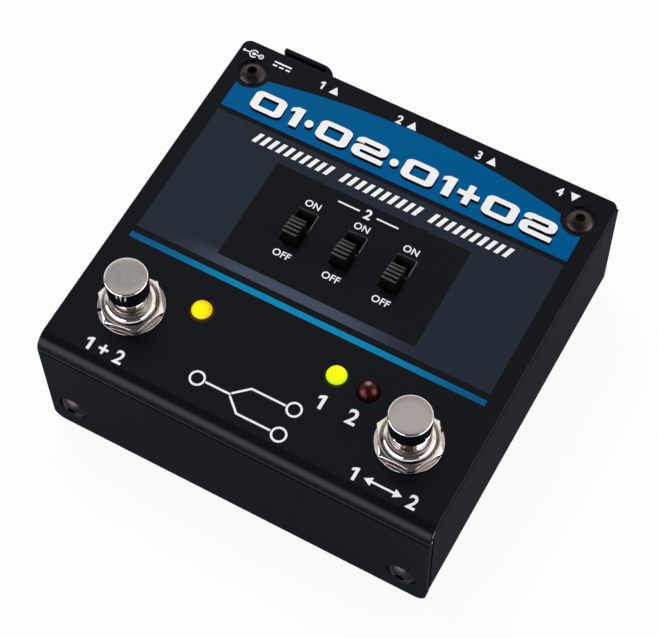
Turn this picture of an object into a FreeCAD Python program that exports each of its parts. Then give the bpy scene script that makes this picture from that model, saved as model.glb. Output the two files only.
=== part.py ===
import FreeCAD, Part

import os
import re

import Sketcher
from FreeCAD import Placement, Rotation, Vector

# A two-footswitch signal selector box for the floor, in millimetres, +Z up.
# The origin is the middle of the box's footprint, on the underside of its base pad.
# +X is to the right and +Y to the back of someone standing in front of the box.

# Driving sizes: name, millimetres, meaning
SIZES = {
    "body_width": (98.5, "box, side to side"),
    "body_depth": (94.0, "box, front to back"),
    "body_height": (36.5, "box without its pad"),
    "sheet_thick": (1.9, "painted steel sheet"),
    "bend_outer": (4.0, "outer radius of every long bend"),
    "seam": (0.1, "gap between cover and chassis"),
    "plate_round": (2.0, "rounded back corners of the top"),
    "flange_round": (3.0, "rounded lower corners of the front flange"),
    "pad_thick": (2.0, "base pad"),
    "pad_side_inset": (4.5, "pad inside the box at sides and back"),
    "pad_front_inset": (2.5, "pad inside the box at the front"),
    "pad_round": (3.0, "corner radius of the pad"),
    "screw_from_side": (6.25, "cover screws in from the sides"),
    "screw_from_back": (8.2, "top screws in from the back"),
    "screw_from_under": (9.0, "flange screws up from the flange's lower edge"),
    "screw_shank": (3.5, "screw diameter"),
    "screw_long": (6.35, "screw length below the head"),
    "screw_head": (6.65, "button head diameter"),
    "screw_head_tall": (1.4, "button head height"),
    "screw_dome_cut": (0.1, "flat ground off the dome"),
    "socket_flats": (2.0, "hex socket across flats"),
    "socket_deep": (0.85, "hex socket depth"),
    "recess_gap": (0.425, "recess past the screw head"),
    "recess_deep": (0.5, "recess depth"),
    "screw_gap": (0.15, "radial gap of a screw in its hole"),
    "thread_gap": (0.05, "radial gap drawn in a thread"),
    "clinch_wide": (7.0, "clinch nut diameter"),
    "clinch_tall": (3.0, "clinch nut below its tab"),
    "clinch_collar": (5.0, "clinch nut collar in its tab"),
    "tab_reach": (6.0, "tab past its screw towards the middle"),
    "tab_wide": (11.4, "tab across its screw"),
    "foot_spacing": (69.9, "between the two footswitches"),
    "foot_from_front": (17.8, "footswitch axis from the front"),
    "foot_square": (17.2, "footswitch housing, square"),
    "foot_wall": (1.4, "housing wall"),
    "foot_floor": (1.2, "housing floor"),
    "housing_tall": (13.6, "housing height"),
    "bushing_flange": (1.2, "square plate that closes the housing"),
    "bushing_below": (8.6, "bushing between that plate and the cover"),
    "bushing_proud": (4.1, "bushing above the top"),
    "bushing_wide": (12.0, "bushing thread"),
    "bushing_round": (1.3, "bushing rim radius"),
    "bushing_gap": (0.1, "radial gap of nuts and cover round the bushing"),
    "stem_wide": (7.9, "plunger stem"),
    "stem_gap": (0.08, "running gap of the stem"),
    "collar_wide": (11.0, "plunger collar"),
    "collar_tall": (2.9, "plunger collar height"),
    "collar_gap": (0.1, "collar below the bushing at rest"),
    "post_gap": (0.35, "plunger post inside the spring's bore"),
    "post_long": (4.0, "plunger post length"),
    "cap_wide": (9.8, "cap"),
    "cap_tall": (5.4, "cap height"),
    "cap_edge": (0.3, "cap rim radius"),
    "foot_travel": (3.0, "plunger travel"),
    "cap_spare": (1.0, "cap still above the bushing when pressed"),
    "spigot_wide": (5.9, "stem end inside the cap"),
    "spigot_long": (3.2, "stem end length"),
    "spigot_gap": (0.2, "space above the stem end"),
    "spring_wide": (7.5, "return spring outside"),
    "spring_wire": (0.8, "return spring wire"),
    "spring_turns": (5.5, "return spring turns"),
    "spring_gap": (0.05, "spring to its seats"),
    "bridge_gap": (0.7, "contact bridge to the housing's walls"),
    "bridge_thick": (1.2, "contact bridge"),
    "bridge_hole_gap": (0.45, "contact bridge round the spring"),
    "lug_pitch": (5.3, "terminal lugs, between centres"),
    "lug_wide": (2.0, "lug width"),
    "lug_thick": (0.8, "lug thickness"),
    "lug_proud": (1.2, "lug above the housing floor"),
    "lead_below": (1.0, "leads and lugs below their board"),
    "foot_nut_wall": (0.8, "footswitch nut past its thread, at the flats"),
    "foot_nut_tall": (2.0, "footswitch nut"),
    "nut_face_inset": (0.15, "a nut's top face inside its flats"),
    "foot_washer_rim": (1.65, "keyed washer past the thread"),
    "foot_washer_thick": (0.7, "keyed washer"),
    "key_wide": (0.9, "notch in the washer's rim"),
    "key_deep": (0.8, "notch depth"),
    "led_wide": (4.9, "lens diameter"),
    "led_gap": (0.1, "radial gap of a lens in the cover"),
    "led_foot_rim": (0.45, "lens foot past the lens"),
    "led_foot_tall": (1.0, "lens foot height"),
    "led_below": (6.1, "lens below the top's surface"),
    "led_from_front": (24.3, "lens row from the front"),
    "led_amber_shift": (-20.6, "amber lens from the middle"),
    "led_green_shift": (13.6, "green lens from the middle"),
    "led_red_shift": (21.5, "red lens from the middle"),
    "led_lead": (0.5, "square lead"),
    "led_lead_pitch": (2.54, "between a lens's leads"),
    "led_lead_inside": (0.8, "lead inside the lens foot"),
    "spacer_wide": (5.0, "lens spacer tube"),
    "spacer_bore": (3.6, "lens spacer bore"),
    "slide_pitch": (12.7, "between slide switches"),
    "slide_row_shift": (0.4, "middle slide switch from the middle"),
    "knob_side_gap": (0.5, "knob to the slot's sides"),
    "knob_far_gap": (0.25, "knob to the slot's far end when thrown"),
    "slot_from_front": (48.6, "near end of the slots from the front"),
    "knob_wide": (3.7, "slide knob"),
    "knob_long": (5.0, "slide knob length"),
    "knob_end_gap": (0.4, "knob to the slot's near end at rest"),
    "knob_proud": (4.1, "nearest ridge above the top"),
    "knob_crown": (0.05, "fall of the ridges towards the back"),
    "ridge_top": (0.4, "ridge top width"),
    "ridge_deep": (0.65, "ridge height"),
    "slide_travel": (4.0, "slide knob travel"),
    "foot_plate_side_gap": (0.4, "knob foot to the frame's sides"),
    "foot_plate_reach": (1.2, "knob foot past the knob at each end"),
    "foot_plate_tall": (2.0, "knob foot height"),
    "frame_below": (0.3, "frame under the cover"),
    "frame_wide": (7.6, "slide frame"),
    "frame_end_gap": (1.7, "knob foot to the frame's ends at its stops"),
    "frame_tall": (7.7, "slide frame height"),
    "frame_sheet": (0.6, "slide frame sheet"),
    "slide_gap": (0.15, "gap round sliding pieces"),
    "slide_base_tall": (1.6, "slide base"),
    "wiper_wide": (4.2, "wiper"),
    "wiper_long": (5.0, "wiper length"),
    "wiper_sheet": (0.4, "wiper sheet"),
    "pin_wide": (0.8, "slide pin"),
    "pin_thick": (0.5, "slide pin"),
    "pin_row": (3.8, "between the two pin rows"),
    "pin_pitch": (4.0, "between pins in a row"),
    "pin_proud": (0.4, "pin above the base"),
    "switch_board_wide": (42.0, "switch board"),
    "switch_board_long": (23.0, "switch board depth"),
    "board_thick": (1.6, "circuit boards"),
    "header_wide": (2.54, "board-to-board header"),
    "header_long": (15.24, "header length"),
    "header_inset": (1.2, "header inside the switch board's end"),
    "standoff_tall": (6.5, "board above the chassis floor"),
    "standoff_wide": (5.0, "standoff"),
    "board_side_gap": (3.4, "board to the chassis sides"),
    "board_front_gap": (4.0, "board to the chassis front"),
    "board_back_gap": (2.1, "board to the rear panel"),
    "board_corner": (6.0, "front corners cut off the board"),
    "standoff_back_in": (15.1, "rear standoffs from the rear panel"),
    "standoff_front_in": (7.0, "front standoffs from the chassis front"),
    "standoff_front_x": (21.0, "front standoffs from the middle"),
    "board_screw": (2.4, "board screw"),
    "board_screw_long": (6.0, "board screw length"),
    "board_screw_head": (5.0, "board screw head"),
    "board_screw_head_tall": (1.6, "board screw head height"),
    "jack_pitch": (20.8, "between jacks"),
    "jack_row_shift": (6.125, "middle of the jack row from the middle"),
    "jack_wide": (15.0, "jack body"),
    "jack_long": (27.0, "jack body behind the panel"),
    "jack_tall": (12.0, "jack body height"),
    "jack_wall": (1.4, "jack body wall"),
    "jack_front_wall": (2.0, "jack body front wall"),
    "jack_panel_gap": (0.1, "jack body behind the panel"),
    "nose_wall": (1.45, "wall of the jack's nose"),
    "nose_out": (4.0, "nose beyond the panel"),
    "nose_gap": (0.15, "radial gap round a nose"),
    "plug_bore": (6.6, "bore for a 6.35 plug"),
    "jack_nut_wall": (1.6, "jack nut past its thread, at the flats"),
    "jack_nut_tall": (2.4, "jack nut"),
    "jack_washer_rim": (2.0, "jack washer past the nose"),
    "jack_washer_thick": (0.6, "jack washer"),
    "contact_wide": (3.0, "jack contact strip"),
    "contact_long": (18.0, "jack contact strip length"),
    "contact_thick": (0.4, "jack contact strip"),
    "contact_clear": (0.25, "contact strip from the plug"),
    "leg_long": (2.0, "contact leg, along the jack"),
    "dc_shift": (-38.0, "inlet from the middle"),
    "dc_wide": (9.0, "inlet body"),
    "dc_long": (14.0, "inlet body behind the panel"),
    "dc_tall": (11.0, "inlet body height"),
    "dc_axis_up": (6.0, "inlet axis above the board"),
    "dc_wall": (1.1, "wall of the inlet's nose"),
    "dc_bore": (5.7, "inlet bore"),
    "dc_bore_deep": (10.0, "inlet bore depth"),
    "dc_pin_wide": (2.0, "inlet centre pin"),
    "dc_pin_back": (1.0, "centre pin behind the panel's face"),
    "dc_pin_root": (1.5, "centre pin held in the body"),
    "dc_pin_tail": (1.6, "centre pin's thinner tail in the body"),
    "hook_strip": (1.2, "cable hook strip thickness"),
    "hook_tall": (6.0, "cable hook strip height"),
    "hook_below_top": (6.5, "hook's top edge below the top"),
    "hook_gap": (4.9, "hook from the rear panel"),
    "hook_end": (42.0, "hook's free end, left of the middle"),
    "hook_root": (27.4, "where the hook leaves the panel, left of the middle"),
    "hook_foot": (17.0, "end of the hook's foot, left of the middle"),
    "hook_round": (4.0, "outer radius of the hook's large bend"),
    "hook_root_round": (0.8, "inner radius of the hook's bend at the panel"),
    "hook_screw_x": (22.0, "hook screw, left of the middle"),
    "hook_screw_head": (5.6, "hook screw head"),
    "hook_screw_head_tall": (1.5, "hook screw head height"),
    "core_wide": (18.0, "transformer core"),
    "core_deep": (12.0, "transformer core"),
    "core_tall": (13.0, "transformer core"),
    "core_leg": (5.0, "centre leg"),
    "core_window": (3.5, "window width"),
    "core_window_tall": (8.0, "window height"),
    "winding_over": (2.4, "winding beyond the core"),
    "winding_gap": (0.2, "winding in its window"),
    "transformer_from_front": (53.5, "transformer middle from the front"),
    "can_wide": (6.3, "capacitor"),
    "can_tall": (8.0, "capacitor height"),
    "can_pitch": (8.0, "between capacitors"),
    "can_from_front": (32.0, "capacitor row from the front"),
    "cut_over": (1.0, "how far a cutter runs past what it cuts"),
}

RIDGES = 5

# Places, and sizes that follow from others
PLACES = {
    "half_width": "body_width / 2",
    "front": "-body_depth / 2",
    "back": "body_depth / 2",
    "plate_top": "pad_thick + body_height",
    "plate_under": "plate_top - sheet_thick",
    "wall_top": "plate_under - seam",
    "side_in": "half_width - sheet_thick",
    "back_in": "back - sheet_thick",
    "flange_in": "front + sheet_thick",
    "chassis_front": "flange_in + seam",
    "floor_top": "pad_thick + sheet_thick",
    "bend_inner": "bend_outer - sheet_thick",
    "screw_x": "half_width - screw_from_side",
    "screw_y": "back - screw_from_back",
    "screw_z": "pad_thick + screw_from_under",
    "tab_in": "screw_x - tab_reach",
    "recess_wide": "screw_head + 2 * recess_gap",
    "foot_x": "foot_spacing / 2",
    "foot_y": "front + foot_from_front",
    "flange_top": "plate_under - bushing_below",
    "flange_under": "flange_top - bushing_flange",
    "housing_under": "flange_under - housing_tall",
    "housing_floor": "housing_under + foot_floor",
    "bushing_top": "plate_top + bushing_proud",
    "bushing_radius": "bushing_wide / 2",
    "nut_bore": "bushing_radius + bushing_gap",
    "foot_nut_flats": "bushing_wide + 2 * foot_nut_wall",
    "foot_washer_wide": "bushing_wide + 2 * foot_washer_rim",
    "foot_nut_under": "plate_top + foot_washer_thick",
    "cap_under": "bushing_top + foot_travel + cap_spare",
    "cap_top": "cap_under + cap_tall",
    "cap_radius": "cap_wide / 2",
    "collar_top": "flange_under - collar_gap",
    "collar_under": "collar_top - collar_tall",
    "spring_radius": "(spring_wide - spring_wire) / 2",
    "spring_foot": "housing_floor + spring_gap + spring_wire / 2",
    "spring_rise": "collar_under - housing_floor - 2 * spring_gap - spring_wire",
    "post_wide": "spring_wide - 2 * spring_wire - 2 * post_gap",
    "bridge_wide": "foot_square - 2 * foot_wall - 2 * bridge_gap",
    "bridge_hole": "spring_wide + 2 * bridge_hole_gap",
    "led_foot_wide": "led_wide + 2 * led_foot_rim",
    "led_y": "front + led_from_front",
    "led_under": "plate_top - led_below",
    "slot_wide": "knob_wide + 2 * knob_side_gap",
    "slot_long": "knob_end_gap + knob_long + slide_travel + knob_far_gap",
    "ridge_pitch": "(knob_long - ridge_top) / %d" % (RIDGES - 1),
    "foot_plate_wide": "frame_wide - 2 * frame_sheet - 2 * foot_plate_side_gap",
    "foot_plate_long": "knob_long + 2 * foot_plate_reach",
    "frame_long": "foot_plate_long + slide_travel + 2 * frame_sheet + 2 * frame_end_gap",
    "slot_near": "front + slot_from_front",
    "slot_far": "slot_near + slot_long",
    "knob_near": "slot_near + knob_end_gap",
    "frame_top": "plate_under - frame_below",
    "frame_under": "frame_top - frame_tall",
    "frame_mid": "knob_near + knob_long / 2 + slide_travel / 2",
    "foot_plate_top": "frame_top - frame_sheet - slide_gap",
    "foot_plate_under": "foot_plate_top - foot_plate_tall",
    "pin_top": "frame_under + slide_base_tall + pin_proud",
    "switch_board_under": "frame_under - board_thick",
    "board_under": "floor_top + standoff_tall",
    "board_top": "board_under + board_thick",
    "board_x": "side_in - board_side_gap",
    "board_near": "chassis_front + board_front_gap",
    "board_far": "back_in - board_back_gap",
    "lead_end": "board_under - lead_below",
    "standoff_far": "back_in - standoff_back_in",
    "standoff_near": "chassis_front + standoff_front_in",
    "jack_axis": "board_top + jack_tall / 2",
    "jack_far": "back_in - jack_panel_gap",
    "jack_near": "jack_far - jack_long",
    "nose_end": "back + nose_out",
    "nose_wide": "plug_bore + 2 * nose_wall",
    "jack_nut_flats": "nose_wide + 2 * jack_nut_wall",
    "jack_washer_wide": "nose_wide + 2 * jack_washer_rim",
    "nose_hole": "nose_wide / 2 + nose_gap",
    "plug_radius": "plug_bore / 2",
    "strip_out": "plug_radius + contact_clear",
    "leg_in": "strip_out + contact_thick + contact_clear",
    "dc_axis": "board_top + dc_axis_up",
    "dc_nose": "dc_bore + 2 * dc_wall",
    "dc_near": "jack_far - dc_long",
    "dc_hole": "dc_nose / 2 + nose_gap",
    "hook_high": "plate_top - hook_below_top",
    "hook_low": "hook_high - hook_tall",
    "hook_mid": "hook_high - hook_tall / 2",
    "hook_in": "back + hook_gap",
    "hook_out": "hook_in + hook_strip",
    "hook_root_far": "hook_root + hook_strip",
    "hook_foot_face": "back + hook_strip",
}

JACK_STEPS = (-1.5, -0.5, 0.5, 1.5)
SLIDE_STEPS = (("left", -1), ("middle", 0), ("right", 1))
SIDES = (("left", "-"), ("right", ""))
SMALL = 0.001

UP_TO_BACK = Rotation(Vector(1, 0, 0), -90)
UP_TO_FRONT = Rotation(Vector(1, 0, 0), 90)

doc = FreeCAD.newDocument("SelectorBox")
sheet = doc.addObject("Spreadsheet::Sheet", "Sizes")
places = doc.addObject("App::VarSet", "Places")
nodes = {}


def spelled_out(text):
    """An expression with its places written out and its sizes read from the sheet."""
    def swap(match):
        word = match.group(0)
        if word in PLACES:
            return "(" + spelled_out(PLACES[word]) + ")"
        return "Sizes." + word if word in SIZES else word

    return re.sub(r"[a-z_]+", swap, text)


def bind(thing, name, text):
    thing.setExpression(name, spelled_out(text))


def number(name):
    """The present value of a size or a place."""
    return sheet.get(name) if name in SIZES else getattr(places, name)


def fill_sheet():
    for row, (name, (value, meaning)) in enumerate(SIZES.items(), 1):
        sheet.set("A%d" % row, name)
        sheet.set("B%d" % row, str(value))
        sheet.setAlias("B%d" % row, name)
        sheet.set("C%d" % row, meaning)
    for name, text in PLACES.items():
        places.addProperty("App::PropertyFloat", name)
        bind(places, name, text)
    doc.recompute()


def node(label, thing):
    """Name a finished piece; its label is its file's name."""
    thing.Label = label
    nodes[label] = thing
    return thing


# Solids from primitives and booleans

def stand(thing, at, turn=None):
    """Turn a piece about its own origin and put that origin at a place."""
    if turn is not None:
        thing.Placement = Placement(Vector(), turn)
    for axis, text in zip("xyz", at):
        bind(thing, "Placement.Base." + axis, text)
    return thing


def block(low, size):
    solid = doc.addObject("Part::Box", "Block")
    for name, text in zip(("Length", "Width", "Height"), size):
        bind(solid, name, text)
    return stand(solid, low)


def rod(foot, radius, length, turn=None):
    solid = doc.addObject("Part::Cylinder", "Rod")
    bind(solid, "Radius", radius)
    bind(solid, "Height", length)
    return stand(solid, foot, turn)


def hexagon(foot, flats, length):
    solid = doc.addObject("Part::Prism", "Hexagon")
    solid.Polygon = 6
    bind(solid, "Circumradius", "(%s) / sqrt(3)" % flats)
    bind(solid, "Height", length)
    return stand(solid, foot)


def union(*solids):
    joined = doc.addObject("Part::MultiFuse", "Union")
    joined.Shapes = list(solids)
    return joined


def less(base, *tools):
    cut = doc.addObject("Part::Cut", "Less")
    cut.Base = base
    cut.Tool = tools[0] if len(tools) == 1 else union(*tools)
    return cut


def shared(first, second):
    both = doc.addObject("Part::Common", "Shared")
    both.Base = first
    both.Tool = second
    return both


def group(label, solids):
    """Like pieces that share one node as separate solids."""
    together = doc.addObject("Part::Compound", "Group")
    together.Links = list(solids)
    return node(label, together)


def nut(flats, tall, bore):
    """A hex nut on its own origin, its corners chamfered at the top."""
    cone = doc.addObject("Part::Cone", "Chamfer")
    bind(cone, "Radius2", "(%s) / 2 - nut_face_inset" % flats)
    bind(cone, "Radius1", "(%s) / 2 - nut_face_inset + (%s) * sqrt(3)" % (flats, tall))
    bind(cone, "Height", tall)
    hole = rod(("0", "0", "-cut_over"), bore, "(%s) + 2 * cut_over" % tall)
    return less(shared(hexagon(("0", "0", "0"), flats, tall), cone), hole)


def ring(wide, thick, bore):
    """A flat washer on its own origin."""
    disc = rod(("0", "0", "0"), "(%s) / 2" % wide, thick)
    return less(disc, rod(("0", "0", "-cut_over"), bore, "(%s) + 2 * cut_over" % thick))


def button_screw(head, head_tall):
    """A button-head screw; its origin is under the head, which points up."""
    ball = doc.addObject("Part::Sphere", "Dome")
    rise = "((%s) + screw_dome_cut)" % head_tall
    radius = "(((%s) / 2)^2 + %s^2) / (2 * %s)" % (head, rise, rise)
    bind(ball, "Radius", radius)
    stand(ball, ("0", "0", "%s - %s" % (rise, radius)))
    button = shared(rod(("0", "0", "0"), "(%s) / 2" % head, head_tall), ball)
    shank = rod(("0", "0", "-screw_long"), "screw_shank / 2", "screw_long")
    socket = hexagon(("0", "0", "(%s) - socket_deep" % head_tall), "socket_flats", "socket_deep + cut_over")
    return less(union(button, shank), socket)


def clinch_nut():
    """A round nut pressed into a sheet; its origin is the middle of the sheet's far face."""
    collar = rod(("0", "0", "-sheet_thick"), "clinch_collar / 2", "sheet_thick")
    flange = rod(("0", "0", "-sheet_thick - clinch_tall"), "clinch_wide / 2", "clinch_tall")
    bore = rod(
        ("0", "0", "-sheet_thick - clinch_tall - cut_over"),
        "screw_shank / 2 + thread_gap",
        "sheet_thick + clinch_tall + 2 * cut_over",
    )
    return less(union(collar, flange), bore)


# Bodies from sketches and features

def new_body(label):
    return node(label, doc.addObject("PartDesign::Body", "Body"))


def sketch(body, role, offset="0"):
    """An empty sketch on one of a body's own planes, lifted along the plane's normal."""
    drawing = body.newObject("Sketcher::SketchObject", "Sketch")
    plane = [feature for feature in body.Origin.OriginFeatures if feature.Role == role][0]
    drawing.AttachmentSupport = [(plane, "")]
    drawing.MapMode = "FlatFace"
    bind(drawing, "AttachmentOffset.Base.z", offset)
    return drawing


def hold(drawing, kind, geometry, point, start, text):
    """Hold one coordinate of a point at an expression."""
    index = drawing.addConstraint(Sketcher.Constraint(kind, -1, 1, geometry, point, start))
    name = "%s_%d_%d" % (kind.lower(), geometry, point)
    drawing.renameConstraint(index, name)
    bind(drawing, "Constraints." + name, text)


def outline(drawing, points):
    """A closed straight-sided outline; each corner is held by its two coordinates."""
    first = drawing.GeometryCount
    count = len(points)
    corners = [Vector(index, index * index, 0) for index in range(count)]
    for index in range(count):
        drawing.addGeometry(Part.LineSegment(corners[index], corners[(index + 1) % count]))
    for index, (across, along) in enumerate(points):
        following = first + (index + 1) % count
        drawing.addConstraint(Sketcher.Constraint("Coincident", first + index, 2, following, 1))
        hold(drawing, "DistanceX", first + index, 1, corners[index].x, across)
        hold(drawing, "DistanceY", first + index, 1, corners[index].y, along)


def rectangle(drawing, low, high):
    outline(drawing, ((low[0], low[1]), (high[0], low[1]), (high[0], high[1]), (low[0], high[1])))


def circle(drawing, centre, radius):
    index = drawing.addGeometry(Part.Circle(Vector(1, 1, 0), Vector(0, 0, 1), 1))
    hold(drawing, "DistanceX", index, 3, 1, centre[0])
    hold(drawing, "DistanceY", index, 3, 1, centre[1])
    place = drawing.addConstraint(Sketcher.Constraint("Radius", index, 1))
    drawing.renameConstraint(place, "radius_%d" % index)
    bind(drawing, "Constraints.radius_%d" % index, radius)


def finish_feature(body, before, gains):
    """Recompute, and stop if a feature that should add or take material didn't."""
    doc.recompute()
    change = body.Shape.Volume - before
    if change * (1 if gains else -1) <= 0:
        raise RuntimeError("%s: %s changed nothing" % (body.Label, body.Tip.Name))


def volume(body):
    return body.Shape.Volume if body.Tip else 0


def pad(body, drawing, length, reverse=False):
    before = volume(body)
    feature = body.newObject("PartDesign::Pad", "Pad")
    feature.Profile = drawing
    feature.Reversed = reverse
    bind(feature, "Length", length)
    finish_feature(body, before, True)


def pocket(body, drawing, depth=None, reverse=False):
    """Cut a sketch into a body, by a depth or right through."""
    before = volume(body)
    feature = body.newObject("PartDesign::Pocket", "Pocket")
    feature.Profile = drawing
    feature.Reversed = reverse
    if depth is None:
        feature.Type = "ThroughAll"
    else:
        bind(feature, "Length", depth)
    finish_feature(body, before, False)


def revolve(body, drawing):
    """Turn a sketch once round its own upright axis."""
    feature = body.newObject("PartDesign::Revolution", "Revolution")
    feature.Profile = drawing
    feature.ReferenceAxis = (drawing, ["V_Axis"])
    feature.Angle = 360
    finish_feature(body, 0, True)


def edges(body, along, **middle):
    """Names of the straight edges along an axis whose middles lie at a place.

    A place across the box counts on both sides of its middle."""
    found = []
    for index, edge in enumerate(body.Shape.Edges, 1):
        start = edge.Vertexes[0].Point
        run = edge.Vertexes[-1].Point - start
        if run.Length < SMALL or abs(abs(getattr(run, along)) - run.Length) > SMALL:
            continue
        centre = start + run / 2
        centre.x = abs(centre.x)
        if all(abs(getattr(centre, axis) - number(name)) < SMALL for axis, name in middle.items()):
            found.append("Edge%d" % index)
    return found


def rims(body, radius, level):
    """Names of the round edges of one radius at one height."""
    found = []
    for index, edge in enumerate(body.Shape.Edges, 1):
        curve = edge.Curve
        if curve.TypeId != "Part::GeomCircle" or abs(curve.Radius - number(radius)) > SMALL:
            continue
        if abs(curve.Center.z - number(level)) < SMALL:
            found.append("Edge%d" % index)
    return found


def round_off(body, names, radius):
    if not names:
        raise RuntimeError("%s: no edge to round" % body.Label)
    tip = body.Tip
    feature = body.newObject("PartDesign::Fillet", "Fillet")
    feature.Base = (tip, names)
    bind(feature, "Radius", radius)
    doc.recompute()
    if not feature.isValid():
        raise RuntimeError("%s: a rounding failed" % body.Label)


# The box

def top_cover():
    """Top plate and front flange, folded from one sheet."""
    body = new_body("top_cover")
    side = sketch(body, "YZ_Plane", "-half_width")
    outline(side, (
        ("front", "pad_thick"),
        ("front", "plate_top"),
        ("back", "plate_top"),
        ("back", "plate_under"),
        ("flange_in", "plate_under"),
        ("flange_in", "pad_thick"),
    ))
    pad(body, side, "body_width")
    round_off(body, edges(body, "z", x="half_width", y="back"), "plate_round")
    round_off(body, edges(body, "y", x="half_width", z="pad_thick"), "flange_round")
    round_off(body, edges(body, "x", y="front", z="plate_top"), "bend_outer")
    round_off(body, edges(body, "x", y="flange_in", z="plate_under"), "bend_inner")
    top = sketch(body, "XY_Plane", "plate_top")
    for _, sign in SIDES:
        circle(top, (sign + "foot_x", "foot_y"), "nut_bore")
        circle(top, (sign + "screw_x", "screw_y"), "screw_shank / 2 + screw_gap")
    for shift in ("led_amber_shift", "led_green_shift", "led_red_shift"):
        circle(top, (shift, "led_y"), "led_wide / 2 + led_gap")
    for _, step in SLIDE_STEPS:
        middle = "slide_row_shift + (%d) * slide_pitch" % step
        rectangle(top, (middle + " - slot_wide / 2", "slot_near"), (middle + " + slot_wide / 2", "slot_far"))
    pocket(body, top)
    seats = sketch(body, "XY_Plane", "plate_top")
    for _, sign in SIDES:
        circle(seats, (sign + "screw_x", "screw_y"), "recess_wide / 2")
    pocket(body, seats, "recess_deep")
    flange = sketch(body, "XZ_Plane", "-(front)")
    for _, sign in SIDES:
        circle(flange, (sign + "screw_x", "screw_z"), "screw_shank / 2 + screw_gap")
    pocket(body, flange, "sheet_thick + cut_over")
    flange_seats = sketch(body, "XZ_Plane", "-(front)")
    for _, sign in SIDES:
        circle(flange_seats, (sign + "screw_x", "screw_z"), "recess_wide / 2")
    pocket(body, flange_seats, "recess_deep")


def chassis():
    """Tray with two sides and a rear panel, and four tabs for the cover's screws."""
    body = new_body("chassis")
    plan = sketch(body, "XY_Plane", "pad_thick")
    rectangle(plan, ("-half_width", "chassis_front"), ("half_width", "back"))
    pad(body, plan, "wall_top - pad_thick")
    hollow = sketch(body, "XY_Plane", "wall_top")
    rectangle(hollow, ("-side_in", "chassis_front - cut_over"), ("side_in", "back_in"))
    pocket(body, hollow, "wall_top - floor_top")
    outer = edges(body, "y", x="half_width", z="pad_thick") + edges(body, "x", y="back", z="pad_thick")
    round_off(body, outer, "bend_outer")
    inner = edges(body, "y", x="side_in", z="floor_top") + edges(body, "x", y="back_in", z="floor_top")
    round_off(body, inner, "bend_inner")
    round_off(body, edges(body, "x", y="chassis_front", z="wall_top"), "bend_inner")
    tabs = sketch(body, "XY_Plane", "wall_top")
    front_tabs = sketch(body, "XZ_Plane", "-(chassis_front)")
    for _, sign in SIDES:
        ends = (sign + "tab_in", sign + "side_in")
        rectangle(tabs, (ends[0], "screw_y - tab_wide / 2"), (ends[1], "screw_y + tab_wide / 2"))
        circle(tabs, (sign + "screw_x", "screw_y"), "clinch_collar / 2")
        rectangle(front_tabs, (ends[0], "screw_z - tab_wide / 2"), (ends[1], "screw_z + tab_wide / 2"))
        circle(front_tabs, (sign + "screw_x", "screw_z"), "clinch_collar / 2")
    pad(body, tabs, "sheet_thick", reverse=True)
    pad(body, front_tabs, "sheet_thick", reverse=True)
    panel = sketch(body, "XZ_Plane", "-(back_in - cut_over)")
    for step in JACK_STEPS:
        circle(panel, ("jack_row_shift + (%s) * jack_pitch" % step, "jack_axis"), "nose_hole")
    circle(panel, ("dc_shift", "dc_axis"), "dc_hole")
    circle(panel, ("-hook_screw_x", "hook_mid"), "clinch_collar / 2")
    pocket(body, panel)


def base_pad():
    body = new_body("base_pad")
    plan = sketch(body, "XY_Plane")
    rectangle(
        plan,
        ("-half_width + pad_side_inset", "front + pad_front_inset"),
        ("half_width - pad_side_inset", "back - pad_side_inset"),
    )
    pad(body, plan, "pad_thick")
    round_off(body, edges(body, "z"), "pad_round")


def cover_screws():
    top = []
    front = []
    nuts = []
    for _, sign in SIDES:
        screw = button_screw("screw_head", "screw_head_tall")
        top.append(stand(screw, (sign + "screw_x", "screw_y", "plate_top - recess_deep")))
        nuts.append(stand(clinch_nut(), (sign + "screw_x", "screw_y", "wall_top")))
        screw = button_screw("screw_head", "screw_head_tall")
        front.append(stand(screw, (sign + "screw_x", "front + recess_deep", "screw_z"), UP_TO_FRONT))
        nuts.append(stand(clinch_nut(), (sign + "screw_x", "chassis_front", "screw_z"), UP_TO_FRONT))
    nuts.append(stand(clinch_nut(), ("-hook_screw_x", "back", "hook_mid"), UP_TO_BACK))
    group("top_screws", top)
    group("front_screws", front)
    group("clinch_nuts", nuts)


# Footswitches

def footswitch_cap(side, x):
    body = new_body("footswitch_cap_" + side)
    disc = sketch(body, "XY_Plane", "cap_under")
    circle(disc, ("0", "0"), "cap_radius")
    pad(body, disc, "cap_tall")
    hole = sketch(body, "XY_Plane", "cap_under")
    circle(hole, ("0", "0"), "spigot_wide / 2")
    pocket(body, hole, "spigot_long + spigot_gap", reverse=True)
    both = rims(body, "cap_radius", "cap_top") + rims(body, "cap_radius", "cap_under")
    round_off(body, both, "cap_edge")
    stand(body, (x, "foot_y", "0"))


def footswitch_plunger(side, x):
    body = new_body("footswitch_plunger_" + side)
    half = sketch(body, "XZ_Plane")
    outline(half, (
        ("0", "collar_under - post_long"),
        ("post_wide / 2", "collar_under - post_long"),
        ("post_wide / 2", "collar_under"),
        ("collar_wide / 2", "collar_under"),
        ("collar_wide / 2", "collar_top"),
        ("stem_wide / 2", "collar_top"),
        ("stem_wide / 2", "cap_under"),
        ("spigot_wide / 2", "cap_under"),
        ("spigot_wide / 2", "cap_under + spigot_long"),
        ("0", "cap_under + spigot_long"),
    ))
    revolve(body, half)
    stand(body, (x, "foot_y", "0"))


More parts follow.
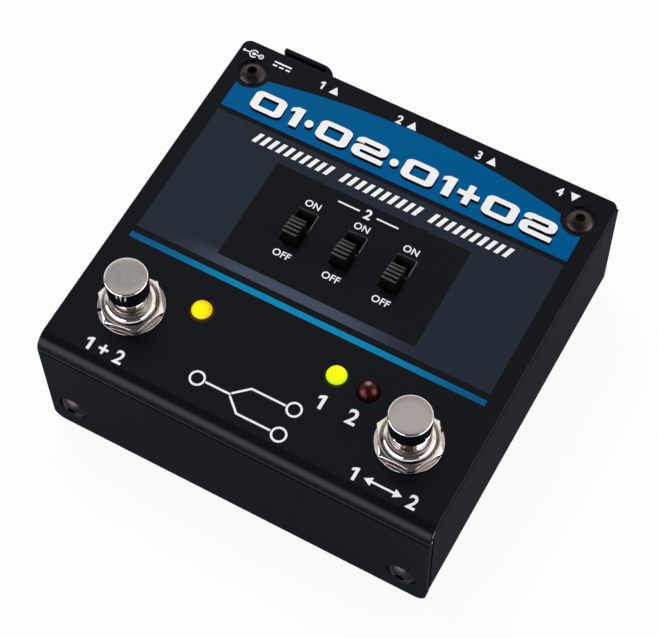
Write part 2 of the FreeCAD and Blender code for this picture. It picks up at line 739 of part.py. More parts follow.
def footswitch_bushing(side, x):
    body = new_body("footswitch_bushing_" + side)
    plate = sketch(body, "XY_Plane", "flange_under")
    half = "foot_square / 2"
    rectangle(plate, ("-" + half, "-" + half), (half, half))
    pad(body, plate, "bushing_flange")
    barrel = sketch(body, "XY_Plane", "flange_under")
    circle(barrel, ("0", "0"), "bushing_radius")
    pad(body, barrel, "bushing_top - flange_under")
    bore = sketch(body, "XY_Plane", "bushing_top")
    circle(bore, ("0", "0"), "stem_wide / 2 + stem_gap")
    pocket(body, bore)
    round_off(body, rims(body, "bushing_radius", "bushing_top"), "bushing_round")
    stand(body, (x, "foot_y", "0"))


def contact_bridge(side, x):
    half = "bridge_wide / 2"
    plate = block(
        ("%s - %s" % (x, half), "foot_y - " + half, "collar_under - bridge_thick"),
        ("bridge_wide", "bridge_wide", "bridge_thick"),
    )
    hole = rod(
        (x, "foot_y", "collar_under - bridge_thick - cut_over"),
        "bridge_hole / 2",
        "bridge_thick + 2 * cut_over",
    )
    node("contact_bridge_" + side, less(plate, hole))


def return_spring(side, x):
    helix = doc.addObject("Part::Helix", "Helix")
    bind(helix, "Radius", "spring_radius")
    bind(helix, "Height", "spring_rise")
    bind(helix, "Pitch", "spring_rise / spring_turns")
    stand(helix, (x, "foot_y", "spring_foot"))
    wire = doc.addObject("Part::Circle", "Wire")
    bind(wire, "Radius", "spring_wire / 2")
    stand(wire, (x + " + spring_radius", "foot_y", "spring_foot"), UP_TO_BACK)
    doc.recompute()
    spring = doc.addObject("Part::Sweep", "Coil")
    spring.Sections = [wire]
    spring.Spine = (helix, ["Edge%d" % (index + 1) for index in range(len(helix.Shape.Edges))])
    spring.Solid = True
    spring.Frenet = True
    node("return_spring_" + side, spring)


def footswitch_lugs(side, x):
    lugs = []
    for across in (-1, 0, 1):
        for along in (-1, 0, 1):
            lugs.append(block(
                (
                    "%s + (%d) * lug_pitch - lug_wide / 2" % (x, across),
                    "foot_y + (%d) * lug_pitch - lug_thick / 2" % along,
                    "lead_end",
                ),
                ("lug_wide", "lug_thick", "housing_floor + lug_proud - lead_end"),
            ))
    return group("footswitch_lugs_" + side, lugs)


def footswitch_housing(side, x, lugs):
    half = "foot_square / 2"
    outer = block(
        ("%s - %s" % (x, half), "foot_y - " + half, "housing_under"),
        ("foot_square", "foot_square", "housing_tall"),
    )
    inner = block(
        ("%s - %s + foot_wall" % (x, half), "foot_y - %s + foot_wall" % half, "housing_floor"),
        ("foot_square - 2 * foot_wall", "foot_square - 2 * foot_wall", "housing_tall"),
    )
    node("footswitch_housing_" + side, less(outer, inner, lugs))


def keyed_washer(x, direction):
    """A washer with a notch in its rim that faces a direction, in degrees from +X."""
    notch = block(
        ("foot_washer_wide / 2 - key_deep", "-key_wide / 2", "-cut_over"),
        ("key_deep + cut_over", "key_wide", "foot_washer_thick + 2 * cut_over"),
    )
    washer = less(ring("foot_washer_wide", "foot_washer_thick", "nut_bore"), notch)
    return stand(washer, (x, "foot_y", "plate_top"), Rotation(Vector(0, 0, 1), direction))


def footswitches():
    """Both footswitches; the nuts and washers stand as they were left when tightened."""
    lugs = []
    nuts = []
    washers = []
    inner_nuts = []
    turns = {"left": (11, 218), "right": (1, 49)}
    for side, sign in SIDES:
        x = sign + "foot_x"
        nut_turn, notch_direction = turns[side]
        footswitch_cap(side, x)
        footswitch_plunger(side, x)
        footswitch_bushing(side, x)
        contact_bridge(side, x)
        return_spring(side, x)
        lugs.append(footswitch_lugs(side, x))
        footswitch_housing(side, x, lugs[-1])
        turned = Rotation(Vector(0, 0, 1), nut_turn)
        top_nut = nut("foot_nut_flats", "foot_nut_tall", "nut_bore")
        nuts.append(stand(top_nut, (x, "foot_y", "foot_nut_under"), turned))
        low_nut = nut("foot_nut_flats", "foot_nut_tall", "nut_bore")
        inner_nuts.append(stand(low_nut, (x, "foot_y", "plate_under - foot_nut_tall")))
        washers.append(keyed_washer(x, notch_direction))
    group("hex_nuts", nuts)
    group("keyed_washers", washers)
    group("inner_nuts", inner_nuts)
    return lugs


# Indicators

def indicators():
    """Three lenses on spacer tubes, each with two leads into the main board."""
    leads = []
    spacers = []
    for colour in ("amber", "green", "red"):
        x = "led_%s_shift" % colour
        own_leads = []
        for side in (-1, 1):
            lead_x = "%s + (%d) * led_lead_pitch / 2 - led_lead / 2" % (x, side)
            own_leads.append(block(
                (lead_x, "led_y - led_lead / 2", "lead_end"),
                ("led_lead", "led_lead", "led_under + led_lead_inside - lead_end"),
            ))
        foot = rod((x, "led_y", "led_under"), "led_foot_wide / 2", "led_foot_tall")
        barrel = rod((x, "led_y", "led_under"), "led_wide / 2", "led_below")
        dome = doc.addObject("Part::Sphere", "Dome")
        dome.Angle1 = 0
        bind(dome, "Radius", "led_wide / 2")
        stand(dome, (x, "led_y", "plate_top"))
        node("led_" + colour, less(union(foot, barrel, dome), *own_leads))
        tube = ring("spacer_wide", "led_under - board_top", "spacer_bore / 2")
        spacers.append(stand(tube, (x, "led_y", "board_top")))
        leads += own_leads
    group("led_spacers", spacers)
    return group("led_leads", leads)


# Slide switches

def slide_knob(side, x):
    """A ridged knob with the foot that keeps it in its frame."""
    body = new_body("slide_knob_" + side)
    profile = sketch(body, "YZ_Plane", x + " - knob_wide / 2")
    points = [("knob_near", "foot_plate_top")]
    for ridge in range(RIDGES):
        start = "knob_near + %d * ridge_pitch" % ridge
        level = "plate_top + knob_proud - %d * knob_crown" % (ridge * ridge)
        points.append((start, level))
        points.append((start + " + ridge_top", level))
        if ridge < RIDGES - 1:
            valley = level + " - ridge_deep"
            flank = "(ridge_pitch - ridge_top) / 3"
            points.append((start + " + ridge_top + " + flank, valley))
            points.append((start + " + ridge_top + 2 * " + flank, valley))
    points.append(("knob_near + %d * ridge_pitch + ridge_top" % (RIDGES - 1), "foot_plate_top"))
    outline(profile, points)
    pad(body, profile, "knob_wide")
    foot = sketch(body, "XY_Plane", "foot_plate_top")
    middle = "knob_near + knob_long / 2"
    rectangle(
        foot,
        (x + " - foot_plate_wide / 2", middle + " - foot_plate_long / 2"),
        (x + " + foot_plate_wide / 2", middle + " + foot_plate_long / 2"),
    )
    pad(body, foot, "foot_plate_tall", reverse=True)


def slide_wiper(side, x):
    """A spring strip folded down on both sides under the knob's foot."""
    middle = "knob_near + knob_long / 2"
    low = "pin_top + slide_gap"
    outer = block(
        (x + " - wiper_wide / 2", middle + " - wiper_long / 2", low),
        ("wiper_wide", "wiper_long", "foot_plate_under - (%s)" % low),
    )
    inner = block(
        (x + " - wiper_wide / 2 + wiper_sheet", middle + " - wiper_long / 2 - cut_over", low + " - cut_over"),
        (
            "wiper_wide - 2 * wiper_sheet",
            "wiper_long + 2 * cut_over",
            "foot_plate_under - wiper_sheet - (%s) + cut_over" % low,
        ),
    )
    node("slide_wiper_" + side, less(outer, inner))


def slide_frame(side, x):
    """A sheet-metal can, open below, with the knob's slot on top."""
    outer = block(
        (x + " - frame_wide / 2", "frame_mid - frame_long / 2", "frame_under"),
        ("frame_wide", "frame_long", "frame_tall"),
    )
    inner = block(
        (
            x + " - frame_wide / 2 + frame_sheet",
            "frame_mid - frame_long / 2 + frame_sheet",
            "frame_under - cut_over",
        ),
        (
            "frame_wide - 2 * frame_sheet",
            "frame_long - 2 * frame_sheet",
            "frame_tall - frame_sheet + cut_over",
        ),
    )
    slot = block(
        (x + " - slot_wide / 2", "slot_near", "frame_top - frame_sheet - cut_over"),
        ("slot_wide", "slot_long", "frame_sheet + 2 * cut_over"),
    )
    node("slide_frame_" + side, less(outer, inner, slot))


def slide_base(side, x, pins):
    inset = "frame_sheet + thread_gap"
    plate = block(
        (x + " - frame_wide / 2 + " + inset, "frame_mid - frame_long / 2 + " + inset, "frame_under"),
        ("frame_wide - 2 * (%s)" % inset, "frame_long - 2 * (%s)" % inset, "slide_base_tall"),
    )
    node("slide_base_" + side, less(plate, *pins))


def slide_switches():
    pins = []
    for side, step in SLIDE_STEPS:
        x = "slide_row_shift + (%d) * slide_pitch" % step
        own_pins = []
        for across in (-1, 1):
            for along in (-1, 0, 1):
                own_pins.append(block(
                    (
                        "%s + (%d) * pin_row / 2 - pin_wide / 2" % (x, across),
                        "frame_mid + (%d) * pin_pitch - pin_thick / 2" % along,
                        "switch_board_under - lead_below",
                    ),
                    ("pin_wide", "pin_thick", "pin_top - switch_board_under + lead_below"),
                ))
        slide_knob(side, x)
        slide_wiper(side, x)
        slide_frame(side, x)
        slide_base(side, x, own_pins)
        pins += own_pins
    return group("slide_pins", pins)


# Rear connectors

def jack_contacts(x):
    """Two strips that lie beside the plug, each with an arm and a leg down to the board."""
    strips = []
    near = "jack_near + jack_wall + 3 * leg_long"
    for sign, level in (("-", "jack_axis + strip_out"), ("", "jack_axis - strip_out - contact_thick")):
        leaf = block(
            (x + " - contact_wide / 2", near, level),
            ("contact_wide", "contact_long", "contact_thick"),
        )
        leg_x = "%s - leg_in - contact_thick" % x if sign else "%s + leg_in" % x
        arm_x = leg_x if sign else x
        arm = block((arm_x, near, level), ("leg_in + contact_thick", "leg_long", "contact_thick"))
        leg_tall = level + " + contact_thick - lead_end"
        leg = block((leg_x, near, "lead_end"), ("contact_thick", "leg_long", leg_tall))
        strips.append(union(leaf, arm, leg))
    return strips


def jack_body(number_on_row, x, contacts):
    shell = block(
        (x + " - jack_wide / 2", "jack_near", "board_top"),
        ("jack_wide", "jack_long", "jack_tall"),
    )
    nose = rod((x, "jack_far", "jack_axis"), "nose_wide / 2", "nose_end - jack_far", UP_TO_BACK)
    bore_from = "jack_far - jack_front_wall - cut_over"
    bore_long = "nose_end - (%s) + cut_over" % bore_from
    bore = rod((x, bore_from, "jack_axis"), "plug_radius", bore_long, UP_TO_BACK)
    hollow = block(
        (x + " - jack_wide / 2 + jack_wall", "jack_near + jack_wall", "board_top + jack_wall"),
        ("jack_wide - 2 * jack_wall", "jack_long - jack_wall - jack_front_wall", "jack_tall - 2 * jack_wall"),
    )
    node("jack_body_%d" % number_on_row, less(union(shell, nose), bore, hollow, *contacts))


def jacks():
    contacts = []
    nuts = []
    washers = []
    for index, step in enumerate(JACK_STEPS, 1):
        x = "jack_row_shift + (%s) * jack_pitch" % step
        own_contacts = jack_contacts(x)
        jack_body(index, x, own_contacts)
        contacts += own_contacts
        washer = ring("jack_washer_wide", "jack_washer_thick", "nose_hole")
        washers.append(stand(washer, (x, "back", "jack_axis"), UP_TO_BACK))
        nose_nut = nut("jack_nut_flats", "jack_nut_tall", "nose_wide / 2 + thread_gap")
        nuts.append(stand(nose_nut, (x, "back + jack_washer_thick", "jack_axis"), UP_TO_BACK))
    group("jack_nuts", nuts)
    group("jack_washers", washers)
    return group("jack_contacts", contacts)


def dc_inlet():
    pin_foot = ("dc_shift", "back - dc_bore_deep", "dc_axis")
    pin = rod(pin_foot, "dc_pin_wide / 2", "dc_bore_deep - dc_pin_back", UP_TO_BACK)
    tail_near = "back - dc_bore_deep - dc_pin_root"
    tail = rod(("dc_shift", tail_near, "dc_axis"), "dc_pin_tail / 2", "dc_pin_root", UP_TO_BACK)
    leg = block(
        ("dc_shift - led_lead", tail_near, "lead_end"),
        ("2 * led_lead", "2 * led_lead", "dc_axis - lead_end"),
    )
    pin_and_leg = node("dc_pin", union(pin, tail, leg))
    shell = block(("dc_shift - dc_wide / 2", "dc_near", "board_top"), ("dc_wide", "dc_long", "dc_tall"))
    nose = rod(("dc_shift", "jack_far", "dc_axis"), "dc_nose / 2", "back - jack_far", UP_TO_BACK)
    bore = rod(pin_foot, "dc_bore / 2", "dc_bore_deep + cut_over", UP_TO_BACK)
    node("dc_inlet", less(union(shell, nose), bore, pin_and_leg))
    return pin_and_leg


def cable_hook():
    """A strip folded away from the panel and back along it, to hold a lead."""
    body = new_body("cable_hook")
    plan = sketch(body, "XY_Plane", "hook_low")
    outline(plan, (
        ("-hook_foot", "back"),
        ("-hook_foot", "hook_foot_face"),
        ("-hook_root", "hook_foot_face"),
        ("-hook_root", "hook_out"),
        ("-hook_end", "hook_out"),
        ("-hook_end", "hook_in"),
        ("-hook_root_far", "hook_in"),
        ("-hook_root_far", "back"),
    ))
    pad(body, plan, "hook_tall")
    round_off(body, edges(body, "z", x="hook_root", y="hook_out"), "hook_round")
    round_off(body, edges(body, "z", x="hook_root_far", y="hook_in"), "hook_round - hook_strip")
    round_off(body, edges(body, "z", x="hook_root", y="hook_foot_face"), "hook_root_round")
    round_off(body, edges(body, "z", x="hook_root_far", y="back"), "hook_root_round + hook_strip")
    hole = sketch(body, "XZ_Plane", "-(hook_foot_face)")
    circle(hole, ("-hook_screw_x", "hook_mid"), "screw_shank / 2 + screw_gap")
    pocket(body, hole, "hook_strip + cut_over", reverse=True)
    screw = button_screw("hook_screw_head", "hook_screw_head_tall")
    stand(screw, ("-hook_screw_x", "hook_foot_face", "hook_mid"), UP_TO_BACK)
    node("hook_screw", screw)


# Boards

def boards(cutters, slide_pins):
    """Main board on standoffs, and the slide switches' board on two headers above it."""
    blank = doc.addObject("PartDesign::Body", "BoardBlank")
    plan = sketch(blank, "XY_Plane", "board_under")
    outline(plan, (
        ("-board_x + board_corner", "board_near"),
        ("board_x - board_corner", "board_near"),
        ("board_x", "board_near + board_corner"),
        ("board_x", "board_far"),
        ("-board_x", "board_far"),
        ("-board_x", "board_near + board_corner"),
    ))
    pad(blank, plan, "board_thick")
    standoffs = []
    screws = []
    spots = (
        ("jack_row_shift - jack_pitch", "standoff_far"),
        ("jack_row_shift + jack_pitch", "standoff_far"),
        ("-standoff_front_x", "standoff_near"),
        ("standoff_front_x", "standoff_near"),
    )
    for x, y in spots:
        tube = ring("standoff_wide", "standoff_tall", "board_screw / 2 + thread_gap")
        standoffs.append(stand(tube, (x, y, "floor_top")))
        head = rod((x, y, "board_top"), "board_screw_head / 2", "board_screw_head_tall")
        shank = rod((x, y, "board_top - board_screw_long"), "board_screw / 2", "board_screw_long")
        screws.append(union(head, shank))
    group("board_standoffs", standoffs)
    cutters.append(group("board_screws", screws))
    node("main_board", less(blank, *cutters))
    switch_blank = block(
        (
            "slide_row_shift - switch_board_wide / 2",
            "frame_mid - switch_board_long / 2",
            "switch_board_under",
        ),
        ("switch_board_wide", "switch_board_long", "board_thick"),
    )
    node("switch_board", less(switch_blank, slide_pins))
    headers = []
    reach = "switch_board_wide / 2 - header_inset - header_wide / 2"
    for sign in ("-", "+"):
        header_x = "slide_row_shift %s (%s) - header_wide / 2" % (sign, reach)
        headers.append(block(
            (header_x, "frame_mid - header_long / 2", "board_top"),
            ("header_wide", "header_long", "switch_board_under - board_top"),
        ))
    group("board_headers", headers)


def transformer():
    y = "front + transformer_from_front"
    x = "slide_row_shift"
    core = block(
        (x + " - core_wide / 2", y + " - core_deep / 2", "board_top"),
        ("core_wide", "core_deep", "core_tall"),
    )
    window_low = "board_top + (core_tall - core_window_tall) / 2"
    windows = []
    for start in ("- core_leg / 2 - core_window", "+ core_leg / 2"):
        windows.append(block(
            (x + " " + start, y + " - core_deep / 2 - cut_over", window_low),
            ("core_window", "core_deep + 2 * cut_over", "core_window_tall"),
        ))
    node("transformer_core", less(core, *windows))
    half = "core_leg / 2 + core_window - winding_gap"
    coil = block(
        ("%s - (%s)" % (x, half), y + " - core_deep / 2 - winding_over", window_low + " + winding_gap"),
        ("2 * (%s)" % half, "core_deep + 2 * winding_over", "core_window_tall - 2 * winding_gap"),
    )
    leg = block(
        (x + " - core_leg / 2", y + " - core_deep / 2", window_low),
        ("core_leg", "core_deep", "core_window_tall"),
    )
    node("transformer_winding", less(coil, leg))


def capacitors():
    cans = []
    for step in (-1, 0, 1):
        x = "slide_row_shift + (%d) * can_pitch - can_pitch / 2" % step
        cans.append(rod((x, "front + can_from_front", "board_top"), "can_wide / 2", "can_tall"))
    group("capacitors", cans)


def check():
    """Every object must have computed, and every piece must be a valid solid or group."""
    for thing in doc.Objects:
        if "Invalid" in thing.State or "Error" in thing.State:
            raise RuntimeError("%s did not compute" % thing.Label)
    for label, thing in nodes.items():
        if thing.Label != label:
            raise RuntimeError("%s has lost its name" % label)
        if thing.Shape.isNull() or not thing.Shape.isValid() or not thing.Shape.Solids:
            raise RuntimeError("%s is not a valid solid" % label)


def main():
    fill_sheet()
    top_cover()
    chassis()
    base_pad()
    cover_screws()
    cutters = footswitches()
    cutters.append(indicators())
    slide_pins = slide_switches()
    cutters.append(jacks())
    cutters.append(dc_inlet())
    cable_hook()
    boards(cutters, slide_pins)
    transformer()
    capacitors()
    doc.recompute()
    check()
    os.makedirs("parts", exist_ok=True)
    for label, thing in nodes.items():
        thing.Shape.exportStep("parts/%s.step" % label)
    print("%d nodes, %d solids" % (len(nodes), sum(len(thing.Shape.Solids) for thing in nodes.values())))


main()
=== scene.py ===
"""The looks of an A/B/Y switch pedal for guitar amplifiers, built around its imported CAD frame.

The steel case is powder coated and screen printed, the footswitches are plated, and two lenses are lit.
Lengths are metres; sizes written in millimetres are multiplied by MM.
"""

import math

import bmesh
import bpy
from bpy.props import FloatProperty, FloatVectorProperty, IntProperty, PointerProperty
from bpy.types import Operator, Panel, PropertyGroup
from mathutils import Matrix, Vector


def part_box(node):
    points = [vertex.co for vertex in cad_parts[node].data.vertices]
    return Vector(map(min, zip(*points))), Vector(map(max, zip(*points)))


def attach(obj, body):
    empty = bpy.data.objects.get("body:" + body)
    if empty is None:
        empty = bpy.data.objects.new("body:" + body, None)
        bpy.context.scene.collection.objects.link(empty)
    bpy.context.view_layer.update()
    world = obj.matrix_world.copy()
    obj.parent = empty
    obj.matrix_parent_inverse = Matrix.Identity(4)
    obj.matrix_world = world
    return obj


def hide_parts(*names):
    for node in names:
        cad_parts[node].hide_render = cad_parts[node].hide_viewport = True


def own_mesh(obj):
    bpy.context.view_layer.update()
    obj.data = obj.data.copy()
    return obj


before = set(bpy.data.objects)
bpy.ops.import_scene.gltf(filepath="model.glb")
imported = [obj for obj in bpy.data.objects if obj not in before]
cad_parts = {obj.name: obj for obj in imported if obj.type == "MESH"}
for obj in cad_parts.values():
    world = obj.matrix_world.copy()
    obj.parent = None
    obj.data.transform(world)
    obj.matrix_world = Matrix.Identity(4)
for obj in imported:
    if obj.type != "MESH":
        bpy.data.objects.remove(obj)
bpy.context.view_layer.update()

bl_info = {
    "name": "Switch pedal",
    "version": (1, 0, 0),
    "blender": (4, 5, 0),
    "location": "View3D > Sidebar > Pedal",
    "description": "Builds the painted, printed and plated looks of an A/B/Y switch pedal",
    "category": "Object",
}

MM = 0.001
MERGE = 0.000001
FLAT = math.radians(0.7)
CASE = "case"
SIDES = ("left", "right")
SLIDES = ("left", "middle", "right")
JACKS = (1, 2, 3, 4)
UP = Vector((0, 0, 1))
FRONT = Vector((0, -1, 0))
BACK = Vector((0, 1, 0))
WHITE = (1.0, 1.0, 1.0, 1.0)
SMOOTH = "SMOOTHSTEP"
BUILTIN_CAP_HEIGHT = 0.69
FOLD_Y = -43.0 * MM
FOLD_Z = 34.5 * MM


# Sizes, colours and the stage

def linear(code):
    """A colour written as sRGB hex, as the linear red, green, blue and alpha that a shader takes."""
    channels = [int(code[at:at + 2], 16) / 255 for at in (0, 2, 4)]
    return tuple(c / 12.92 if c <= 0.04045 else ((c + 0.055) / 1.055) ** 2.4 for c in channels) + (1.0,)


def length(name, description, millimetres):
    """A size that the sidebar shows in the scene's units."""
    return FloatProperty(name=name, description=description, default=millimetres * MM, precision=5,
                         unit="LENGTH")


def colour(name, description, code):
    """A colour that the sidebar shows as a swatch."""
    return FloatVectorProperty(name=name, description=description, default=linear(code), size=4,
                               subtype="COLOR", min=0.0, max=1.0)


def edges(name, description, half, low, high):
    """A printed rectangle's half width and its lower and upper edge."""
    return FloatVectorProperty(name=name, description=description, subtype="XYZ", unit="LENGTH",
                               default=(half * MM, low * MM, high * MM))


def angle(name, description, degrees):
    """An angle that the sidebar shows in degrees."""
    return FloatProperty(name=name, description=description, default=math.radians(degrees), subtype="ANGLE")


class PedalSizes(PropertyGroup):
    """Sizes of the rounded edges and of the printing."""
    arris: length("Arris", "Rounding of the painted sheet's cut edges", 0.22)
    fine_arris: length("Fine arris", "Rounding of edges on plated and moulded pieces", 0.08)
    ink: length("Ink", "Height of one layer of ink above the paint", 0.03)
    band_half: length("Band half width", "Blue band, from the middle to its end", 45.1)
    band_low: length("Band foot", "Straight lower edge of the blue band", 27.5)
    band_crown: length("Band crown", "Highest point of the blue band", 42.25)
    band_radius: length("Band radius", "Radius of the band's curved upper edge", 186.0)
    band_clear: length("Screw clearance", "Bare paint round each top screw, from its axis", 4.5)
    panel: edges("Panel", "Half width, foot and head of the grey panel", 45.0, -10.6, 26.2)
    window: edges("Window", "Half width, foot and head of the bare window in the panel", 25.2, -8.1, 19.5)
    stripe: edges("Stripe", "Half width, foot and head of the blue stripe", 45.2, -13.75, -12.25)
    title_base: length("Title base", "Base line of the large figures", 30.0)
    title_cap: length("Title height", "Height of the large figures", 5.4)
    title_left: length("Title start", "Left end of the large figures", -39.2)
    title_right: length("Title end", "Right end of the large figures", 39.6)
    bars_base: length("Bar base", "Base line of the slanted bars", 21.9)
    bars_tall: length("Bar height", "Height of the slanted bars", 2.8)
    bars_half: length("Bar row half width", "Row of slanted bars, from the middle to its end", 33.6)
    bar_pitch: length("Bar pitch", "Between two slanted bars", 2.1)


class PedalColours(PropertyGroup):
    """Colours of the paint, the inks and the lenses."""
    paint: colour("Paint", "Black powder coat", "090B10")
    band: colour("Band ink", "Blue of the band", "005C92")
    stripe: colour("Stripe ink", "Lighter blue of the stripe, in its middle", "0A86B4")
    stripe_end: colour("Stripe ink, ends", "Blue of the stripe's two ends", "0A5686")
    panel_dark: colour("Panel ink, middle", "Grey of the panel's middle", "242B36")
    panel_pale: colour("Panel ink, pale", "Grey of the strip in front of the window", "454D5E")
    white: colour("White ink", "Figures, numbers and symbols", "ECEDF1")
    amber: colour("Amber", "Middle of the lit amber lens", "FFF500")
    amber_rim: colour("Amber rim", "Shoulder of the lit amber lens", "F5BE00")
    green: colour("Green", "Middle of the lit green lens", "FAFA00")
    green_rim: colour("Green rim", "Shoulder of the lit green lens", "CDF416")
    red: colour("Red", "Unlit red lens", "33050A")
    red_glint: colour("Red glint", "Light caught by the cup inside the red lens", "78363C")
    red_far_glint: colour("Red far glint", "Light caught at the far side of the red lens", "96757A")


class PedalStage(PropertyGroup):
    """The camera's place and the light."""
    azimuth: angle("Azimuth", "Camera's direction, turned from straight ahead", -29.9691)
    elevation: angle("Elevation", "Camera's direction, below the horizon", 61.3489)
    roll: angle("Roll", "Camera turned about its own direction", -1.2585)
    target: FloatVectorProperty(name="Target", description="Point that the camera looks at",
                                default=(3.538 * MM, -7.815 * MM, 32.0 * MM), subtype="XYZ", unit="LENGTH")
    distance: length("Distance", "Camera to its target", 463.34)
    focal: FloatProperty(name="Focal length", description="In pixels of the picture", default=2053.43)
    picture_width: IntProperty(name="Picture width", description="In pixels", default=659, subtype="PIXEL")
    floor_radius: length("Floor radius", "Round pale floor", 3000.0)
    sky: FloatProperty(name="Sky", description="Strength of the even light from all round", default=0.45)


# Meshes

def middle(node):
    """The middle of a CAD node's box."""
    low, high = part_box(node)
    return (low + high) / 2


def link(name, data):
    """A new object in the scene."""
    made = bpy.data.objects.new(name, data)
    bpy.context.scene.collection.objects.link(made)
    return made


def baked(host):
    """The mesh that an object shows with its modifiers, as a plain mesh. The object is removed."""
    bpy.context.view_layer.update()
    graph = bpy.context.evaluated_depsgraph_get()
    made = bpy.data.meshes.new_from_object(host.evaluated_get(graph), depsgraph=graph)
    made.name = host.name
    bpy.data.objects.remove(host)
    return made


def to_mesh(name, shape, mend=True):
    """A mesh from a bmesh. Mended, its doubles are merged and its faces point outwards."""
    if mend:
        bmesh.ops.remove_doubles(shape, verts=shape.verts, dist=MERGE)
        bmesh.ops.recalc_face_normals(shape, faces=shape.faces)
    made = bpy.data.meshes.new(name)
    shape.to_mesh(made)
    shape.free()
    return made


def rounded(mesh, width=0.0, segments=2, sharp=32):
    """The mesh with its sharp edges rounded to a width, smooth shaded, and its flat faces kept flat."""
    mesh.shade_smooth()
    host = link(mesh.name, mesh)
    if width:
        bevel = host.modifiers.new("arris", "BEVEL")
        bevel.width = width
        bevel.segments = segments
        bevel.limit_method = "ANGLE"
        bevel.angle_limit = math.radians(sharp)
        bevel.use_clamp_overlap = False
    else:
        mesh.set_sharp_from_angle(angle=math.radians(sharp))
    host.modifiers.new("flat_faces", "WEIGHTED_NORMAL").keep_sharp = True
    return baked(host)


def copied(node):
    """A merged copy of a CAD node's mesh, with its flat faces made whole."""
    shape = bmesh.new()
    shape.from_mesh(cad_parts[node].data)
    bmesh.ops.remove_doubles(shape, verts=shape.verts, dist=MERGE)
    bmesh.ops.dissolve_limit(shape, angle_limit=FLAT, verts=shape.verts, edges=shape.edges)
    return to_mesh(node + "_shape", shape, False)


def at_angle(value, turn):
    """A ring's radius or height, which may be a rule of the angle."""
    return value(turn) if callable(value) else value


def turned(name, rings, segments=96):
    """A closed mesh turned about Z from rings of radius and height.

    A shape with a hole closes on itself, and one without starts and ends on its axis.
    The point attribute "ring" holds each point's distance from the axis, for turning marks.
    """
    shape = bmesh.new()
    mark = shape.verts.layers.float.new("ring")
    rows = []
    for radius, height in rings:
        row = []
        for step in range(segments):
            turn = step * math.tau / segments
            out = at_angle(radius, turn)
            point = shape.verts.new((out * math.cos(turn), out * math.sin(turn), at_angle(height, turn)))
            point[mark] = out / MM
            row.append(point)
        rows.append(row)
    has_hole = rings[0][0] != 0
    if has_hole:
        rows.append(rows[0])
    for low, high in zip(rows, rows[1:]):
        for step in range(segments):
            after = (step + 1) % segments
            shape.faces.new((low[step], low[after], high[after], high[step]))
    return to_mesh(name, shape)


def arc(x, y, radius, start, end, steps):
    """Points round a centre, from one angle to another."""
    turns = [start + (end - start) * step / steps for step in range(steps + 1)]
    return [(x + radius * math.cos(turn), y + radius * math.sin(turn)) for turn in turns]


def hexagon(flats):
    """The rule for a hexagon's radius at an angle, for its width across flats."""
    def radius(turn):
        return flats / 2 / math.cos(turn % (math.pi / 3) - math.pi / 6)
    return radius


def placed(mesh, x, y):
    """The mesh moved to X and Y."""
    mesh.transform(Matrix.Translation((x, y, 0)))
    return mesh


def raised(name, curve, span, x=0.0, y=0.0):
    """A filled outline drawn in millimetres, as a closed mesh in metres between two heights."""
    low, high = span
    curve.extrude = (high - low) / MM / 2
    shape = bmesh.new()
    shape.from_mesh(baked(link(name, curve)))
    lift = Matrix.Translation((0, 0, curve.extrude))
    shape.transform(Matrix.Translation((x, y, low)) @ Matrix.Scale(MM, 4) @ lift)
    return to_mesh(name, shape)


def print_of(name, loops, span):
    """Ink between two heights, inside its loops of X and Y in metres and outside the loops within them."""
    curve = bpy.data.curves.new(name, "CURVE")
    curve.dimensions = "2D"
    curve.fill_mode = "BOTH"
    for loop in loops:
        spline = curve.splines.new("POLY")
        spline.points.add(len(loop) - 1)
        for point, (x, y) in zip(spline.points, loop):
            point.co = (x / MM, y / MM, 0, 1)
        spline.use_cyclic_u = True
    return raised(name, curve, span)


def lettering(text, cap, x, y, span, weight=0.045):
    """Plain built-in characters of a cap height, centred on X with their base line at Y."""
    curve = bpy.data.curves.new(text, "FONT")
    curve.body = text
    curve.size = cap / MM / BUILTIN_CAP_HEIGHT
    curve.offset = weight * curve.size / 2
    curve.space_character = 1.06
    curve.align_x = "CENTER"
    return raised("lettering", curve, span, x, y)


def figure_one(cap, span):
    """A plain upright figure 1, with its base line at zero."""
    outline = ((0.25, 0), (0.48, 0), (0.48, 1), (0.3, 1), (0, 0.84), (0, 0.62), (0.25, 0.76))
    return print_of("one", [[(x * cap, y * cap) for x, y in outline]], span)


def label(text, cap, x, y, span, gap=0.16):
    """Signs set one after another, centred on X. A blank is a third of a sign's height wide."""
    meshes = []
    end = 0.0
    for sign in text:
        if sign == " ":
            end += cap / 3
            continue
        mesh = figure_one(cap, span) if sign == "1" else lettering(sign, cap, 0, 0, span)
        across = [point.co.x for point in mesh.vertices]
        meshes.append(placed(mesh, end - min(across), 0))
        end += max(across) - min(across) + gap * cap
    return [placed(mesh, x - (end - gap * cap) / 2, y) for mesh in meshes]


def rectangle(left, right, low, high):
    """A rectangle's corners."""
    return [(left, low), (right, low), (right, high), (left, high)]


def circle(x, y, radius, steps=48):
    """Points round a circle."""
    return arc(x, y, radius, 0, math.tau, steps)[:-1]


def ribbon(points, width):
    """The outline of a stroke of one width along points, mitred at its corners."""
    sides = ([], [])
    for at, point in enumerate(points):
        here = Vector(point)
        before = (here - Vector(points[at - 1])).normalized() if at else None
        after = (Vector(points[at + 1]) - here).normalized() if at < len(points) - 1 else None
        along = (before or after) + (after or before)
        across = Vector((-along.y, along.x)).normalized()
        reach = width / 2 / across.dot(Vector((-(before or after).y, (before or after).x)))
        sides[0].append(tuple(here + across * reach))
        sides[1].append(tuple(here - across * reach))
    return sides[0] + sides[1][::-1]


